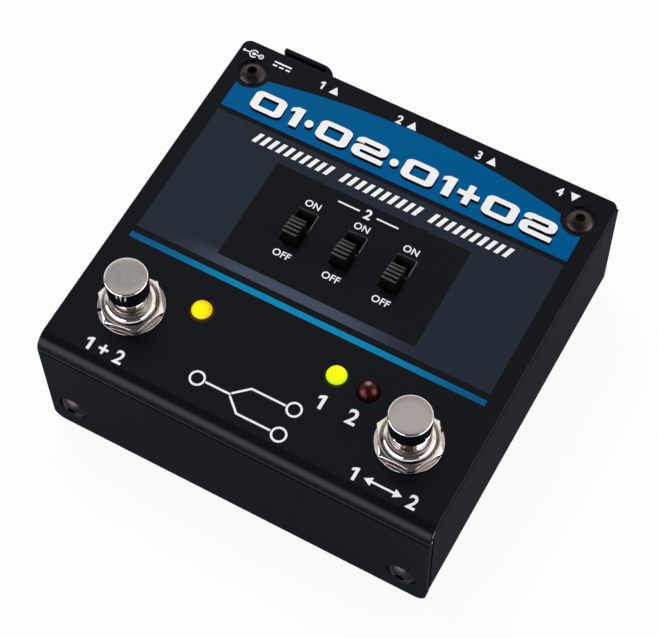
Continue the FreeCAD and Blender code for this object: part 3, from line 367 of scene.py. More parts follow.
def round_path(points, radius, steps=6):
    """Points of a path with square corners, each corner rounded to a radius."""
    path = [points[0]]
    for before, corner, after in zip(points, points[1:], points[2:]):
        here = Vector(corner)
        back = (Vector(before) - here).normalized()
        on = (Vector(after) - here).normalized()
        centre = here + (back + on) * radius
        for step in range(steps + 1):
            turn = math.pi / 2 * step / steps
            path.append(tuple(centre - on * radius * math.cos(turn) - back * radius * math.sin(turn)))
    return path + [points[-1]]


def corners(points, radius):
    """A closed outline of square corners, each corner rounded to a radius."""
    loop = []
    for at, corner in enumerate(points):
        loop += round_path([points[at - 1], corner, points[(at + 1) % len(points)]], radius)[1:-1]
    return loop


def piece(name, mesh, maker, body, slot, *nodes):
    """A finished piece: its mesh, its finish, the body it rides on, its slot and the nodes it stands for. The
    slot is not used.
    """
    mesh.materials.clear()
    mesh.materials.append(finish(maker))
    mesh.name = name
    made = link(name, mesh)
    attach(made, body)
    if nodes:
        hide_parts(*nodes)
    return made


def softened(name, node, maker, body, slot, width=0.0, segments=2):
    """A finished piece in a CAD node's own shape, with its edges rounded."""
    return piece(name, rounded(copied(node), width, segments), maker, body, slot, node)


def printed(name, loops, layer, maker):
    """A finished layer of print on the cover."""
    return piece(name, print_of(name, loops, ink_span(layer)), maker, CASE, "cover_paint")


# Nodes

def add(tree, kind, inputs=None, **settings):
    """Adds a node: its settings by name, and its inputs by name or number, each a value or a socket."""
    made = tree.nodes.new(kind)
    for name, value in settings.items():
        setattr(made, name, value)
    for name, value in (inputs or {}).items():
        if isinstance(value, bpy.types.NodeSocket):
            tree.links.new(value, made.inputs[name])
        else:
            made.inputs[name].default_value = value
    return made


def ranged(tree, value, start, end, low=0.0, high=1.0, kind="LINEAR"):
    """How far a value has gone from a start to an end, told as a number from low to high."""
    return add(tree, "ShaderNodeMapRange",
               {"Value": value, "From Min": start, "From Max": end, "To Min": low, "To Max": high},
               interpolation_type=kind).outputs["Result"]


def mixed(tree, share, first, second, kind="RGBA"):
    """A mix of two colours or, where the kind is FLOAT, of two numbers."""
    at, out = (6, 2) if kind == "RGBA" else (2, 0)
    return add(tree, "ShaderNodeMix", {0: share, at: first, at + 1: second}, data_type=kind).outputs[out]


def maths(tree, operation, *values, **settings):
    """What an operation makes of one or two numbers."""
    made = add(tree, "ShaderNodeMath", dict(enumerate(values)), operation=operation, **settings)
    return made.outputs["Value"]


def vectors(tree, operation, *values, out="Vector"):
    """What an operation makes of one or two vectors: a vector or, where out is Value, a number."""
    return add(tree, "ShaderNodeVectorMath", dict(enumerate(values)), operation=operation).outputs[out]


def place_of(tree):
    """Places on the object, in metres."""
    return add(tree, "ShaderNodeTexCoord").outputs["Object"]


def part(tree, vector, axis):
    """One coordinate of a vector."""
    return add(tree, "ShaderNodeSeparateXYZ", {"Vector": vector}).outputs[axis]


def ring_of(tree):
    """Distance from a turned piece's axis, in millimetres."""
    return add(tree, "ShaderNodeAttribute", attribute_name="ring").outputs["Fac"]


def from_axis(tree, place, x, y):
    """Distance from a line straight up through X and Y."""
    return vectors(tree, "DISTANCE", vectors(tree, "MULTIPLY", place, (1, 1, 0)), (x, y, 0), out="Value")


def noise(tree, place, cell, detail=3.0):
    """Cloudy cells of a real size."""
    return add(tree, "ShaderNodeTexNoise",
               {"Vector": place, "Scale": 1 / cell, "Detail": detail}).outputs["Fac"]


def bump(tree, height, distance, **inputs):
    """The normal of a surface raised by a height."""
    return add(tree, "ShaderNodeBump",
               {"Height": height, "Distance": distance, "Strength": 1.0, **inputs}).outputs["Normal"]


def principled(tree, **inputs):
    """A principled shader, with its inputs by their names."""
    named = {name.replace("_", " "): value for name, value in inputs.items()}
    return add(tree, "ShaderNodeBsdfPrincipled", named).outputs["BSDF"]


def shining(tree, kind, tint, strength):
    """Light of a colour and strength, as Emission from a surface or Background from the air."""
    return add(tree, "ShaderNode" + kind, {"Color": tint, "Strength": strength}).outputs[0]


def within(tree, value, centre, full, none):
    """One where a value is within a distance of a centre, and nought beyond a greater distance."""
    offset = maths(tree, "ABSOLUTE", maths(tree, "SUBTRACT", value, centre))
    return ranged(tree, offset, none, full, kind=SMOOTH)


def near(tree, place, axis, centre, full, none):
    """One within a distance of a plane across an axis, and nought beyond a greater distance."""
    return within(tree, part(tree, place, axis), centre, full, none)


def new_tree(name, inputs):
    """A geometry node tree with named inputs and one geometry output."""
    tree = bpy.data.node_groups.new(name, "GeometryNodeTree")
    for title, kind in inputs:
        tree.interface.new_socket(name=title, in_out="INPUT", socket_type=kind)
    tree.interface.new_socket(name="Geometry", in_out="OUTPUT", socket_type="NodeSocketGeometry")
    return tree, add(tree, "NodeGroupInput").outputs


def end_tree(tree, given, geometry):
    """Makes the geometry real, gives it its finish and hands it out."""
    real = add(tree, "GeometryNodeRealizeInstances", {"Geometry": geometry})
    done = add(tree, "GeometryNodeSetMaterial",
               {"Geometry": real.outputs["Geometry"], "Material": given["Finish"]})
    add(tree, "NodeGroupOutput", {"Geometry": done.outputs["Geometry"]})
    return tree


def copies_tree():
    """Sets a copy of a piece on each point, aimed along the point's way and turned about it."""
    tree, given = new_tree("copies", (("Points", "NodeSocketGeometry"), ("Piece", "NodeSocketObject"),
                                      ("Finish", "NodeSocketMaterial")))
    way = add(tree, "GeometryNodeInputNamedAttribute", {"Name": "way"}, data_type="FLOAT_VECTOR")
    turn = add(tree, "GeometryNodeInputNamedAttribute", {"Name": "turn"}, data_type="FLOAT")
    aim = add(tree, "FunctionNodeAlignRotationToVector", {"Vector": way.outputs["Attribute"]}, axis="Z")
    spin = add(tree, "FunctionNodeAxisAngleToRotation", {"Axis": UP, "Angle": turn.outputs["Attribute"]})
    both = add(tree, "FunctionNodeRotateRotation",
               {"Rotation": aim.outputs["Rotation"], "Rotate By": spin.outputs["Rotation"]},
               rotation_space="LOCAL")
    shape = add(tree, "GeometryNodeObjectInfo", {"Object": given["Piece"]})
    laid = add(tree, "GeometryNodeInstanceOnPoints",
               {"Points": given["Points"], "Instance": shape.outputs["Geometry"],
                "Rotation": both.outputs["Rotation"]})
    return end_tree(tree, given, laid.outputs["Instances"])


def coil_tree():
    """Sweeps a round wire along a helix that rises from its foot."""
    tree, given = new_tree("coil", (("Radius", "NodeSocketFloat"), ("Rise", "NodeSocketFloat"),
                                    ("Turns", "NodeSocketFloat"), ("Wire", "NodeSocketFloat"),
                                    ("Foot", "NodeSocketVector"), ("Finish", "NodeSocketMaterial")))
    path = add(tree, "GeometryNodeCurveSpiral",
               {"Resolution": 40, "Rotations": given["Turns"], "Height": given["Rise"],
                "Start Radius": given["Radius"], "End Radius": given["Radius"]})
    section = add(tree, "GeometryNodeCurvePrimitiveCircle", {"Resolution": 12, "Radius": given["Wire"]})
    swept = add(tree, "GeometryNodeCurveToMesh",
                {"Curve": path.outputs["Curve"], "Profile Curve": section.outputs["Curve"],
                 "Fill Caps": True})
    moved = add(tree, "GeometryNodeTransform",
                {"Geometry": swept.outputs["Mesh"], "Translation": given["Foot"]})
    return end_tree(tree, given, moved.outputs["Geometry"])


def run(maker, host, values):
    """The plain mesh that a maker's tree gives on an object. Its inputs are set by their identifiers."""
    tree = bpy.data.node_groups.get(maker.__name__.removesuffix("_tree")) or maker()
    modifier = host.modifiers.new(tree.name, "NODES")
    modifier.node_group = tree
    for item in tree.interface.items_tree:
        if item.in_out == "INPUT" and item.name in values:
            modifier[item.identifier] = values[item.name]
    return baked(host)


def copies(name, mesh, maker, slot, spots, *nodes):
    """A finished piece of copies of one mesh, on spots of place, way and turn."""
    points = bpy.data.meshes.new(name)
    points.from_pydata([place for place, way, turn in spots], [], [])
    ways = points.attributes.new("way", "FLOAT_VECTOR", "POINT")
    ways.data.foreach_set("vector", [number for place, way, turn in spots for number in way])
    turns = points.attributes.new("turn", "FLOAT", "POINT")
    turns.data.foreach_set("value", [turn for place, way, turn in spots])
    pattern = link(name + "_pattern", mesh)
    made = run(copies_tree, link(name, points), {"Piece": pattern, "Finish": finish(maker)})
    bpy.data.objects.remove(pattern)
    return piece(name, made, maker, CASE, slot, *nodes)


# Finishes

def finish(maker):
    """The material that a maker function describes, made once."""
    made = bpy.data.materials.get(maker.__name__)
    if made is None:
        made = bpy.data.materials.new(maker.__name__)
        made.use_nodes = True
        made.node_tree.nodes.clear()
        surface = maker(made.node_tree, bpy.context.scene.pedal_colours)
        add(made.node_tree, "ShaderNodeOutputMaterial", {"Surface": surface})
    return made


def varied(tree, dark, pale, cell, rough, relief, **fixed):
    """A surface whose colour, gloss and height vary over cells of a real size.

    rough holds the lowest and highest roughness, and relief is the height of the cells.
    """
    cells = noise(tree, place_of(tree), cell)
    return principled(tree, Base_Color=mixed(tree, cells, dark, pale), Normal=bump(tree, cells, relief),
                      Roughness=ranged(tree, cells, 0.0, 1.0, *rough), **fixed)


def banded(tree, axis, pitch, dark, pale, relief, **fixed):
    """A surface of straight bands across an axis, in three tenths of a pitch each."""
    bands = add(tree, "ShaderNodeTexWave", {"Vector": place_of(tree), "Scale": 1 / pitch},
                bands_direction=axis).outputs["Fac"]
    return principled(tree, Base_Color=mixed(tree, bands, dark, pale), Normal=bump(tree, bands, relief),
                      **fixed)


def turned_metal(tree, dark, pale, rough, mark, relief):
    """Plated metal with rings left by the lathe, which follow the attribute "ring" in millimetres."""
    bloom = noise(tree, place_of(tree), 0.9 * MM, 4.0)
    marks = add(tree, "ShaderNodeTexNoise", {"W": ring_of(tree), "Scale": 1 / mark, "Detail": 2.0},
                noise_dimensions="1D").outputs["Fac"]
    return principled(tree, Base_Color=mixed(tree, bloom, dark, pale), Normal=bump(tree, marks, relief),
                      Roughness=ranged(tree, bloom, 0.0, 1.0, *rough), Metallic=1.0)


def black_powder_coat(tree, colours):
    """Baked polyester powder on steel: a faint orange peel, a soft gloss, and the lit lenses' spill."""
    surface = varied(tree, colours.paint, linear("0D0F15"), 0.8 * MM, (0.5, 0.6), 0.003 * MM,
                     Specular_IOR_Level=0.0, Coat_Weight=0.25, Coat_Roughness=0.27)
    place = place_of(tree)
    # Painted highlights and shade at the front fold, the side seams, the slot edges and the fold's ends.
    for mark in (fold_mark, seam_shade, slot_wear, fold_wear):
        mark(tree, place, surface.node)
    for node, spill in (("led_amber", "744A00"), ("led_green", "2A4400")):
        axis = middle(node)
        share = ranged(tree, from_axis(tree, place, axis.x, axis.y), 3.1 * MM, 2.35 * MM)
        glow = shining(tree, "Emission", linear(spill), maths(tree, "POWER", share, 2.0))
        surface = add(tree, "ShaderNodeAddShader", {0: surface, 1: glow}).outputs["Shader"]
    return surface


def marked(tree, paint, share, tint, coat):
    """Gives a paint another tint and another weight of coat where a share is one."""
    base, weight = paint.inputs["Base Color"], paint.inputs["Coat Weight"]
    tree.links.new(mixed(tree, share, base.links[0].from_socket, linear(tint)), base)
    before = weight.links[0].from_socket if weight.is_linked else weight.default_value
    tree.links.new(mixed(tree, share, before, coat, "FLOAT"), weight)


def fold_mark(tree, place, paint):
    """Paints a highlight and shade where the sheet was folded along the front: a pale line over a dull dark
    one.
    """
    front = ranged(tree, part(tree, place, "Y"), -46.2 * MM, -46.4 * MM)
    # Painted highlight as the pale line above, painted shade as the dull dark line below.
    for height, tint, coat in ((35.0, "2E3036", 0.25), (34.2, "030305", 0.0)):
        level = near(tree, place, "Z", height * MM, 0.15 * MM, 0.4 * MM)
        marked(tree, paint, maths(tree, "MULTIPLY", level, front), tint, coat)


def fold_reach(tree, place):
    """Distance from the middle of the cover's front fold, level along the top and the front."""
    ahead = maths(tree, "SUBTRACT", FOLD_Y, part(tree, place, "Y"))
    above = maths(tree, "SUBTRACT", part(tree, place, "Z"), FOLD_Z)
    corner = add(tree, "ShaderNodeCombineXYZ", {"X": maths(tree, "MAXIMUM", ahead, 0.0),
                                                "Y": maths(tree, "MAXIMUM", above, 0.0)})
    return vectors(tree, "LENGTH", corner.outputs["Vector"], out="Value")


def seam_shade(tree, place, paint):
    """Darkens the paint beside the seam of cover and chassis, which follows the cover's fold on each side."""
    inner = near(tree, place, "X", 0.0, 48.95 * MM, 49.1 * MM)
    seam = within(tree, fold_reach(tree, place), 2.05 * MM, 0.2 * MM, 0.5 * MM)
    marked(tree, paint, maths(tree, "SUBTRACT", seam, inner, use_clamp=True), "020203", 0.0)


def slot_wear(tree, place, paint):
    """Paints highlights on the far edge and the right edge of each slide slot."""
    edge, fade = 0.12 * MM, 0.3 * MM
    for side in SLIDES:
        x = middle("slide_knob_" + side).x
        across = near(tree, place, "X", x, 2.3 * MM, 2.5 * MM)
        right = near(tree, place, "X", x + 2.43 * MM, edge, fade)
        along = near(tree, place, "Y", 9.2 * MM, 2.0 * MM, 2.3 * MM)
        far = near(tree, place, "Y", 11.35 * MM, edge, fade)
        # Painted highlights: dimmer on the far edge, brighter on the right edge.
        for one, other, tint in ((across, far, "38383C"), (right, along, "606066")):
            marked(tree, paint, maths(tree, "MULTIPLY", one, other), tint, 0.25)


def fold_wear(tree, place, paint):
    """Paints two small glints at each end of the front fold."""
    reach = fold_reach(tree, place)
    rim = within(tree, near(tree, place, "X", 0.0, 48.8 * MM, 49.0 * MM), 0.0, 0.0, 1.0)
    # Painted glints: a near-white tint on the sheet's edge at the fold's ends.
    for radius, axis, centre in ((3.1, "Y", -45.0), (2.6, "Z", 33.7)):
        edge = within(tree, reach, radius * MM, 0.1 * MM, 0.25 * MM)
        stretch = near(tree, place, axis, centre * MM, 0.45 * MM, 0.75 * MM)
        share = maths(tree, "MULTIPLY", maths(tree, "MULTIPLY", rim, edge), stretch)
        marked(tree, paint, share, "D6D8DC", 0.25)


def screen_ink(tree, place, tint):
    """An even, weakly glossy film of ink in the colour of a socket."""
    film = bump(tree, noise(tree, place, 0.8 * MM), 0.003 * MM)
    return principled(tree, Base_Color=tint, Roughness=0.48, Specular_IOR_Level=0.0, Coat_Weight=0.06,
                      Coat_Roughness=0.3, Normal=film)


def blue_band_ink(tree, colours):
    """Screen-printed epoxy ink: an even film, flatter than the paint under it."""
    return varied(tree, colours.band, linear("00538A"), 2.0 * MM, (0.42, 0.5), 0.003 * MM,
                  Specular_IOR_Level=0.0, Coat_Weight=0.05, Coat_Roughness=0.2)


def blue_stripe_ink(tree, colours):
    """Screen-printed epoxy ink in a lighter blue, strongest in the stripe's middle."""
    place = place_of(tree)
    share = near(tree, place, "X", 0.0, 12 * MM, 46 * MM)
    return screen_ink(tree, place, mixed(tree, share, colours.stripe_end, colours.stripe))


def white_ink(tree, colours):
    """Screen-printed white: thick enough to hide the black, with a slightly mottled film."""
    return varied(tree, colours.white, linear("F6F6F9"), 0.6 * MM, (0.45, 0.55), 0.003 * MM,
                  Specular_IOR_Level=0.1)


def black_ink(tree, colours):
    """Screen-printed black under the white figures, a little flatter than the paint."""
    return varied(tree, linear("060708"), linear("08090B"), 0.8 * MM, (0.5, 0.6), 0.003 * MM,
                  Specular_IOR_Level=0.0, Coat_Weight=0.03, Coat_Roughness=0.3)


def grey_panel_ink(tree, colours):
    """Screen-printed grey, paler in the middle of the strip in front of the window."""
    place = place_of(tree)
    forward = ranged(tree, part(tree, place, "Y"), -6 * MM, -9 * MM, kind=SMOOTH)
    share = maths(tree, "MULTIPLY", forward, near(tree, place, "X", -6 * MM, 8 * MM, 34 * MM))
    return screen_ink(tree, place, mixed(tree, share, colours.panel_dark, colours.panel_pale))


def moulded_rubber(tree, colours):
    """Black moulded rubber: matt, with a pebbled skin that keeps the box from sliding."""
    return varied(tree, linear("151516"), linear("202021"), 1.3 * MM, (0.75, 0.9), 0.05 * MM,
                  Specular_IOR_Level=0.3)


def black_nickel(tree, colours):
    """Steel screws plated with black nickel: a warm smoky mirror, with painted shade almost black down in the
    hex socket.
    """
    surface = turned_metal(tree, linear("302C2B"), linear("463F3D"), (0.28, 0.42), 0.35, 0.003 * MM)
    outside = ranged(tree, ring_of(tree), 1.17, 1.24)
    base = surface.node.inputs["Base Color"]
    # Painted shade: the hex socket is tinted almost black.
    tree.links.new(mixed(tree, outside, linear("1A1716"), base.links[0].from_socket), base)
    return surface


def satin_chrome(tree, colours):
    """Turned brass caps, chromed: a mirror on the side, and a satin top with a faint cloudy bloom."""
    surface = turned_metal(tree, linear("CFC6C0"), linear("DCD4CF"), (0.16, 0.26), 0.4, 0.0006 * MM)
    side = ranged(tree, ring_of(tree), 4.5, 4.62)
    rough = surface.node.inputs["Roughness"]
    tree.links.new(mixed(tree, side, rough.links[0].from_socket, 0.05, "FLOAT"), rough)
    return surface


def bright_nickel(tree, colours):
    """Nickel-plated steel and brass: a warm mirror, turned marks drawn 0.3 mm apart so that they show."""
    return turned_metal(tree, linear("C4BAB3"), linear("DED5CF"), (0.06, 0.13), 0.3, 0.005 * MM)


def threaded_nickel(tree, colours):
    """Nickel-plated brass bushings: rings are cut round their axes, and a thread down their sides."""
    surface = bright_nickel(tree, colours)
    pitch = 0.8 * MM
    axis = middle("footswitch_cap_right")
    place = place_of(tree)
    away = from_axis(tree, vectors(tree, "ABSOLUTE", place), abs(axis.x), abs(axis.y))
    along = maths(tree, "ADD", away, part(tree, place, "Z"))
    groove = maths(tree, "SINE", maths(tree, "MULTIPLY", along, math.tau / pitch))
    normal = surface.node.inputs["Normal"]
    tree.links.new(bump(tree, groove, 0.03 * MM, Normal=normal.links[0].from_socket), normal)
    return surface


def black_abs(tree, colours):
    """Moulded black ABS of the slide knobs: matt in its grooves and polished by fingers on its crests, with a
    painted highlight on faces that point up.
    """
    surface = varied(tree, linear("040405"), linear("070708"), 0.9 * MM, (0.35, 0.45), 0.0006 * MM,
                     Specular_IOR_Level=0.15, Coat_Weight=0.05, Coat_Roughness=0.15, Coat_IOR=1.8)
    facing = part(tree, add(tree, "ShaderNodeTexCoord").outputs["Normal"], "Z")
    # Painted highlight: faces that point up get a paler tint, along with a full coat.
    marked(tree, surface.node, within(tree, facing, 1.0, 0.08, 0.3), "232326", 1.0)
    return surface


def black_nylon(tree, colours):
    """Moulded glass-filled nylon of the sockets: a fine, slightly glittering grain."""
    return varied(tree, linear("141416"), linear("1E1E21"), 0.25 * MM, (0.45, 0.6), 0.006 * MM,
                  Specular_IOR_Level=0.4)


def white_nylon(tree, colours):
    """Moulded natural nylon of the lens spacers: a milky off-white."""
    return varied(tree, linear("CFCBC0"), linear("DEDBD2"), 0.6 * MM, (0.4, 0.5), 0.003 * MM)


def phenolic(tree, colours):
    """Pressed dark green phenolic of the switch housings, mottled by its filler."""
    return varied(tree, linear("16281E"), linear("22382B"), 0.5 * MM, (0.35, 0.5), 0.006 * MM)


def stamped_brass(tree, colours):
    """Stamped brass contacts with a thin silver plate, rolled lines drawn coarse enough to show."""
    return varied(tree, linear("B39A5E"), linear("CDB982"), 0.3 * MM, (0.22, 0.34), 0.003 * MM, Metallic=1.0)


def music_wire(tree, colours):
    """Drawn steel spring wire: a dark, smooth grey."""
    return varied(tree, linear("77787B"), linear("96979A"), 0.5 * MM, (0.25, 0.35), 0.002 * MM, Metallic=1.0)


def zinc_plate(tree, colours):
    """Zinc-plated steel: a pale bluish spangle."""
    return varied(tree, linear("9FA3A8"), linear("C3C6CA"), 0.8 * MM, (0.25, 0.4), 0.003 * MM, Metallic=1.0)


def can_sleeve(tree, colours):
    """Shrunk dark blue sleeve of the capacitors: glossy and slightly wavy."""
    return varied(tree, linear("10192E"), linear("18243F"), 1.5 * MM, (0.25, 0.35), 0.01 * MM)


def core_laminations(tree, colours):
    """Stacked silicon steel sheets, half a millimetre each, with dark lines between them."""
    return banded(tree, "Y", 3.2 * MM, linear("2B2C2F"), linear("5A5C61"), 0.05 * MM, Metallic=0.8,
                  Roughness=0.5)


def winding_tape(tree, colours):
    """Yellow polyester tape over the winding, with the wire's turns faintly raised."""
    return banded(tree, "Z", 2.4 * MM, linear("A8841E"), linear("C9A22F"), 0.03 * MM, Roughness=0.35)


def solder_mask(tree, colours):
    """Green solder mask on glass epoxy, paler over its copper tracks."""
    tracks = add(tree, "ShaderNodeTexBrick",
                 {"Vector": place_of(tree), "Scale": 1 / (4 * MM), "Mortar Size": 0.04,
                  "Color1": linear("0E3B22"), "Color2": linear("114427"), "Mortar": linear("1F6B3E")})
    return principled(tree, Base_Color=tracks.outputs["Color"], Roughness=0.3)


def lit_lens(tree, node, middle_tint, rim_tint, ahead, bright, rim):
    """A tinted epoxy lens lit from inside, brightest near its middle, with painted shade at its foot where it
    stands in its hole.
    """
    axis = middle(node)
    away = from_axis(tree, place_of(tree), axis.x, axis.y - ahead)
    glow = mixed(tree, ranged(tree, away, bright, rim, kind=SMOOTH), middle_tint, rim_tint)
    # Painted shade: the glow fades almost out at the lens's foot.
    strength = ranged(tree, ring_of(tree), 2.3, 2.42, 1.0, 0.03, SMOOTH)
    return principled(tree, Base_Color=(0.01, 0.01, 0.01, 1.0), Roughness=0.3, Emission_Color=glow,
                      Emission_Strength=strength, Specular_IOR_Level=0.02)


def lit_amber_lens(tree, colours):
    """Tinted amber epoxy, lit: yellow before its middle and orange round it."""
    return lit_lens(tree, "led_amber", colours.amber, colours.amber_rim, 0.8 * MM, 0.9 * MM, 2.9 * MM)


def lit_green_lens(tree, colours):
    """Tinted green epoxy, lit so hard that its middle turns yellow."""
    return lit_lens(tree, "led_green", colours.green, colours.green_rim, 0.0, 1.6 * MM, 2.4 * MM)


def dark_red_lens(tree, colours):
    """Tinted red epoxy, unlit: nearly black, with painted glints at three places: two of light caught by the
    cup inside, one at the far side.
    """
    place = place_of(tree)
    axis = middle("led_red")
    tint = colours.red
    # Painted glints: three spots of paler red tint.
    for x, y, reach, glint in ((1.45, -0.2, 0.85, colours.red_glint), (-0.55, -1.35, 0.85, colours.red_glint),
                               (-0.5, 0.95, 1.05, colours.red_far_glint)):
        away = from_axis(tree, place, axis.x + x * MM, axis.y + y * MM)
        tint = mixed(tree, ranged(tree, away, reach * MM, 0.2 * MM, kind=SMOOTH), tint, glint)
    return principled(tree, Base_Color=tint, Roughness=0.2, IOR=1.5, Specular_IOR_Level=0.12)


# Printing

GLYPH_STRETCH = 1.6
GLYPH_STROKE = 0.235
GLYPH_ROUND = 0.11
GLYPH_WIDE = 0.96
TITLE = "01.02.01+02"
TITLE_SHADOW = (0.35 * MM, -0.7 * MM)
BAR_LEAN = 0.35
BAR_THICK = 0.52


def plate_top():
    """Height of the painted top."""
    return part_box("top_cover")[1].z


def ink_span(layer):
    """Underside and surface of an ink layer; each higher layer starts inside the one below it."""
    ink = bpy.context.scene.pedal_sizes.ink
    return plate_top() + (layer - 1) * ink - ink / 2, plate_top() + layer * ink


def screw_place():
    """X and Y of the right top screw."""
    low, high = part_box("top_screws")
    head = high.y - low.y
    return high.x - head / 2, high.y - head / 2


def band_outline(sizes):
    """The blue band: straight below, curved above, and cut round the two top screws."""
    screw_x, screw_y = screw_place()
    radius, clear = sizes.band_radius, sizes.band_clear
    centre_y = sizes.band_crown - radius
    gap = math.hypot(screw_x, screw_y - centre_y)
    along = (radius ** 2 - clear ** 2 + gap ** 2) / (2 * gap)
    off = math.sqrt(radius ** 2 - along ** 2)
    ahead = Vector((screw_x, screw_y - centre_y)) / gap
    meet = Vector((0, centre_y)) + ahead * along + Vector((-ahead.y, ahead.x)) * off
    end = math.acos((sizes.band_half - screw_x) / clear)
    start = math.tau - math.atan2(meet.y - screw_y, meet.x - screw_x) % math.tau
    right = [(sizes.band_half, sizes.band_low)] + arc(screw_x, screw_y, clear, -end, -start, 24)
    right += arc(0, centre_y, radius, math.atan2(meet.y - centre_y, meet.x), math.pi / 2, 40)[1:]
    return right + [(-x, y) for x, y in reversed(right[:-1])]


def glyph(sign):
    """Strokes and width of a large squared figure, one unit high, before it is stretched sideways."""
    half = GLYPH_STROKE / 2
    wide = GLYPH_WIDE
    if sign == "0":
        outer = corners(rectangle(0, wide, 0, 1), GLYPH_ROUND + half)
        hole = rectangle(GLYPH_STROKE, wide - GLYPH_STROKE, GLYPH_STROKE, 1 - GLYPH_STROKE)
        inner = corners(hole, GLYPH_ROUND - half + 0.05)
        return [outer, inner], wide
    if sign == "1":
        left, right = 0.14, 0.14 + GLYPH_STROKE
        return [[(left, 0), (right, 0), (right, 1), (0.16, 1), (0, 0.86), (0, 0.66), (left, 0.76)]], right
    if sign == "2":
        path = [(half, 0.68), (half, 1 - half), (wide - half, 1 - half), (wide - half, 0.5),
                (half, 0.5), (half, half), (wide, half)]
        return [ribbon(round_path(path, GLYPH_ROUND), GLYPH_STROKE)], wide
    if sign == "+":
        wide = 0.62
        reach, arm = wide * GLYPH_STRETCH / 2, half / GLYPH_STRETCH * 1.3
        across = (0, wide / 2 - arm, wide / 2 + arm, wide)
        up = (0.5 - reach, 0.5 - half, 0.5 + half, 0.5 + reach)
        path = ((0, 1), (1, 1), (1, 0), (2, 0), (2, 1), (3, 1),
                (3, 2), (2, 2), (2, 3), (1, 3), (1, 2), (0, 2))
        return [[(across[x], up[y]) for x, y in path]], wide
    wide, level = 0.24, 0.44
    dot = circle(wide / 2, level, wide / 2)
    return [[(x, level + (y - level) * GLYPH_STRETCH) for x, y in dot]], wide


def title_loops(sizes, shift):
    """The row of large figures between its two ends, shifted for its shadow."""
    signs = [glyph(sign) for sign in TITLE]
    stretch = sizes.title_cap * GLYPH_STRETCH
    inked = sum(width for strokes, width in signs) * stretch
    gap = (sizes.title_right - sizes.title_left - inked) / (len(signs) - 1)
    x = sizes.title_left
    loops = []
    for strokes, width in signs:
        for stroke in strokes:
            loops.append([(x + px * stretch + shift[0], sizes.title_base + py * sizes.title_cap + shift[1])
                          for px, py in stroke])
        x += width * stretch + gap
    return loops


# Operators

class PEDAL_OT_case(Operator):
    """Softens the painted sheets, the hook and the rubber base"""
    bl_idname = "pedal.case"
    bl_label = "Case"

    def execute(self, context):
        arris = context.scene.pedal_sizes.arris
        for name, node, maker, slot in (("painted_cover", "top_cover", black_powder_coat, "cover_paint"),
                                        ("painted_chassis", "chassis", black_powder_coat, "chassis_paint"),
                                        ("painted_hook", "cable_hook", black_powder_coat, "chassis_paint"),
                                        ("rubber_base", "base_pad", moulded_rubber, "pad_rubber")):
            softened(name, node, maker, CASE, slot, arris, 3)
        return {"FINISHED"}


class PEDAL_OT_panels(Operator):
    """Prints the blue band, the grey panel and the blue stripe"""
    bl_idname = "pedal.panels"
    bl_label = "Printed panels"

    def execute(self, context):
        sizes = context.scene.pedal_sizes
        panel, window, stripe = [rectangle(-half, half, low, high)
                                 for half, low, high in (sizes.panel, sizes.window, sizes.stripe)]
        printed("blue_band", [band_outline(sizes)], 1, blue_band_ink)
        printed("grey_panel", [panel, window], 1, grey_panel_ink)
        printed("blue_stripe", [stripe], 1, blue_stripe_ink)
        return {"FINISHED"}


class PEDAL_OT_title(Operator):
    """Prints the large figures with their shadow and the row of slanted bars"""
    bl_idname = "pedal.title"
    bl_label = "Title figures"

    def execute(self, context):
        sizes = context.scene.pedal_sizes
        printed("title_shadow", title_loops(sizes, TITLE_SHADOW), 2, black_ink)
        printed("title_figures", title_loops(sizes, (0, 0)), 3, white_ink)
        lean = sizes.bars_tall * BAR_LEAN
        thick = sizes.bar_pitch * BAR_THICK
        slant = [(-thick / 2 - lean / 2, 0), (thick / 2 - lean / 2, 0),
                 (thick / 2 + lean / 2, sizes.bars_tall), (-thick / 2 + lean / 2, sizes.bars_tall)]
        count = int(2 * sizes.bars_half / sizes.bar_pitch)
        left = -(count - 1) * sizes.bar_pitch / 2
        gaps = (count // 3, 2 * count // 3)
        spots = [((left + at * sizes.bar_pitch, sizes.bars_base, 0), UP, 0.0)
                 for at in range(count) if at not in gaps]
        copies("slanted_bars", print_of("bar", [slant], ink_span(2)), white_ink, "cover_paint", spots)
        return {"FINISHED"}


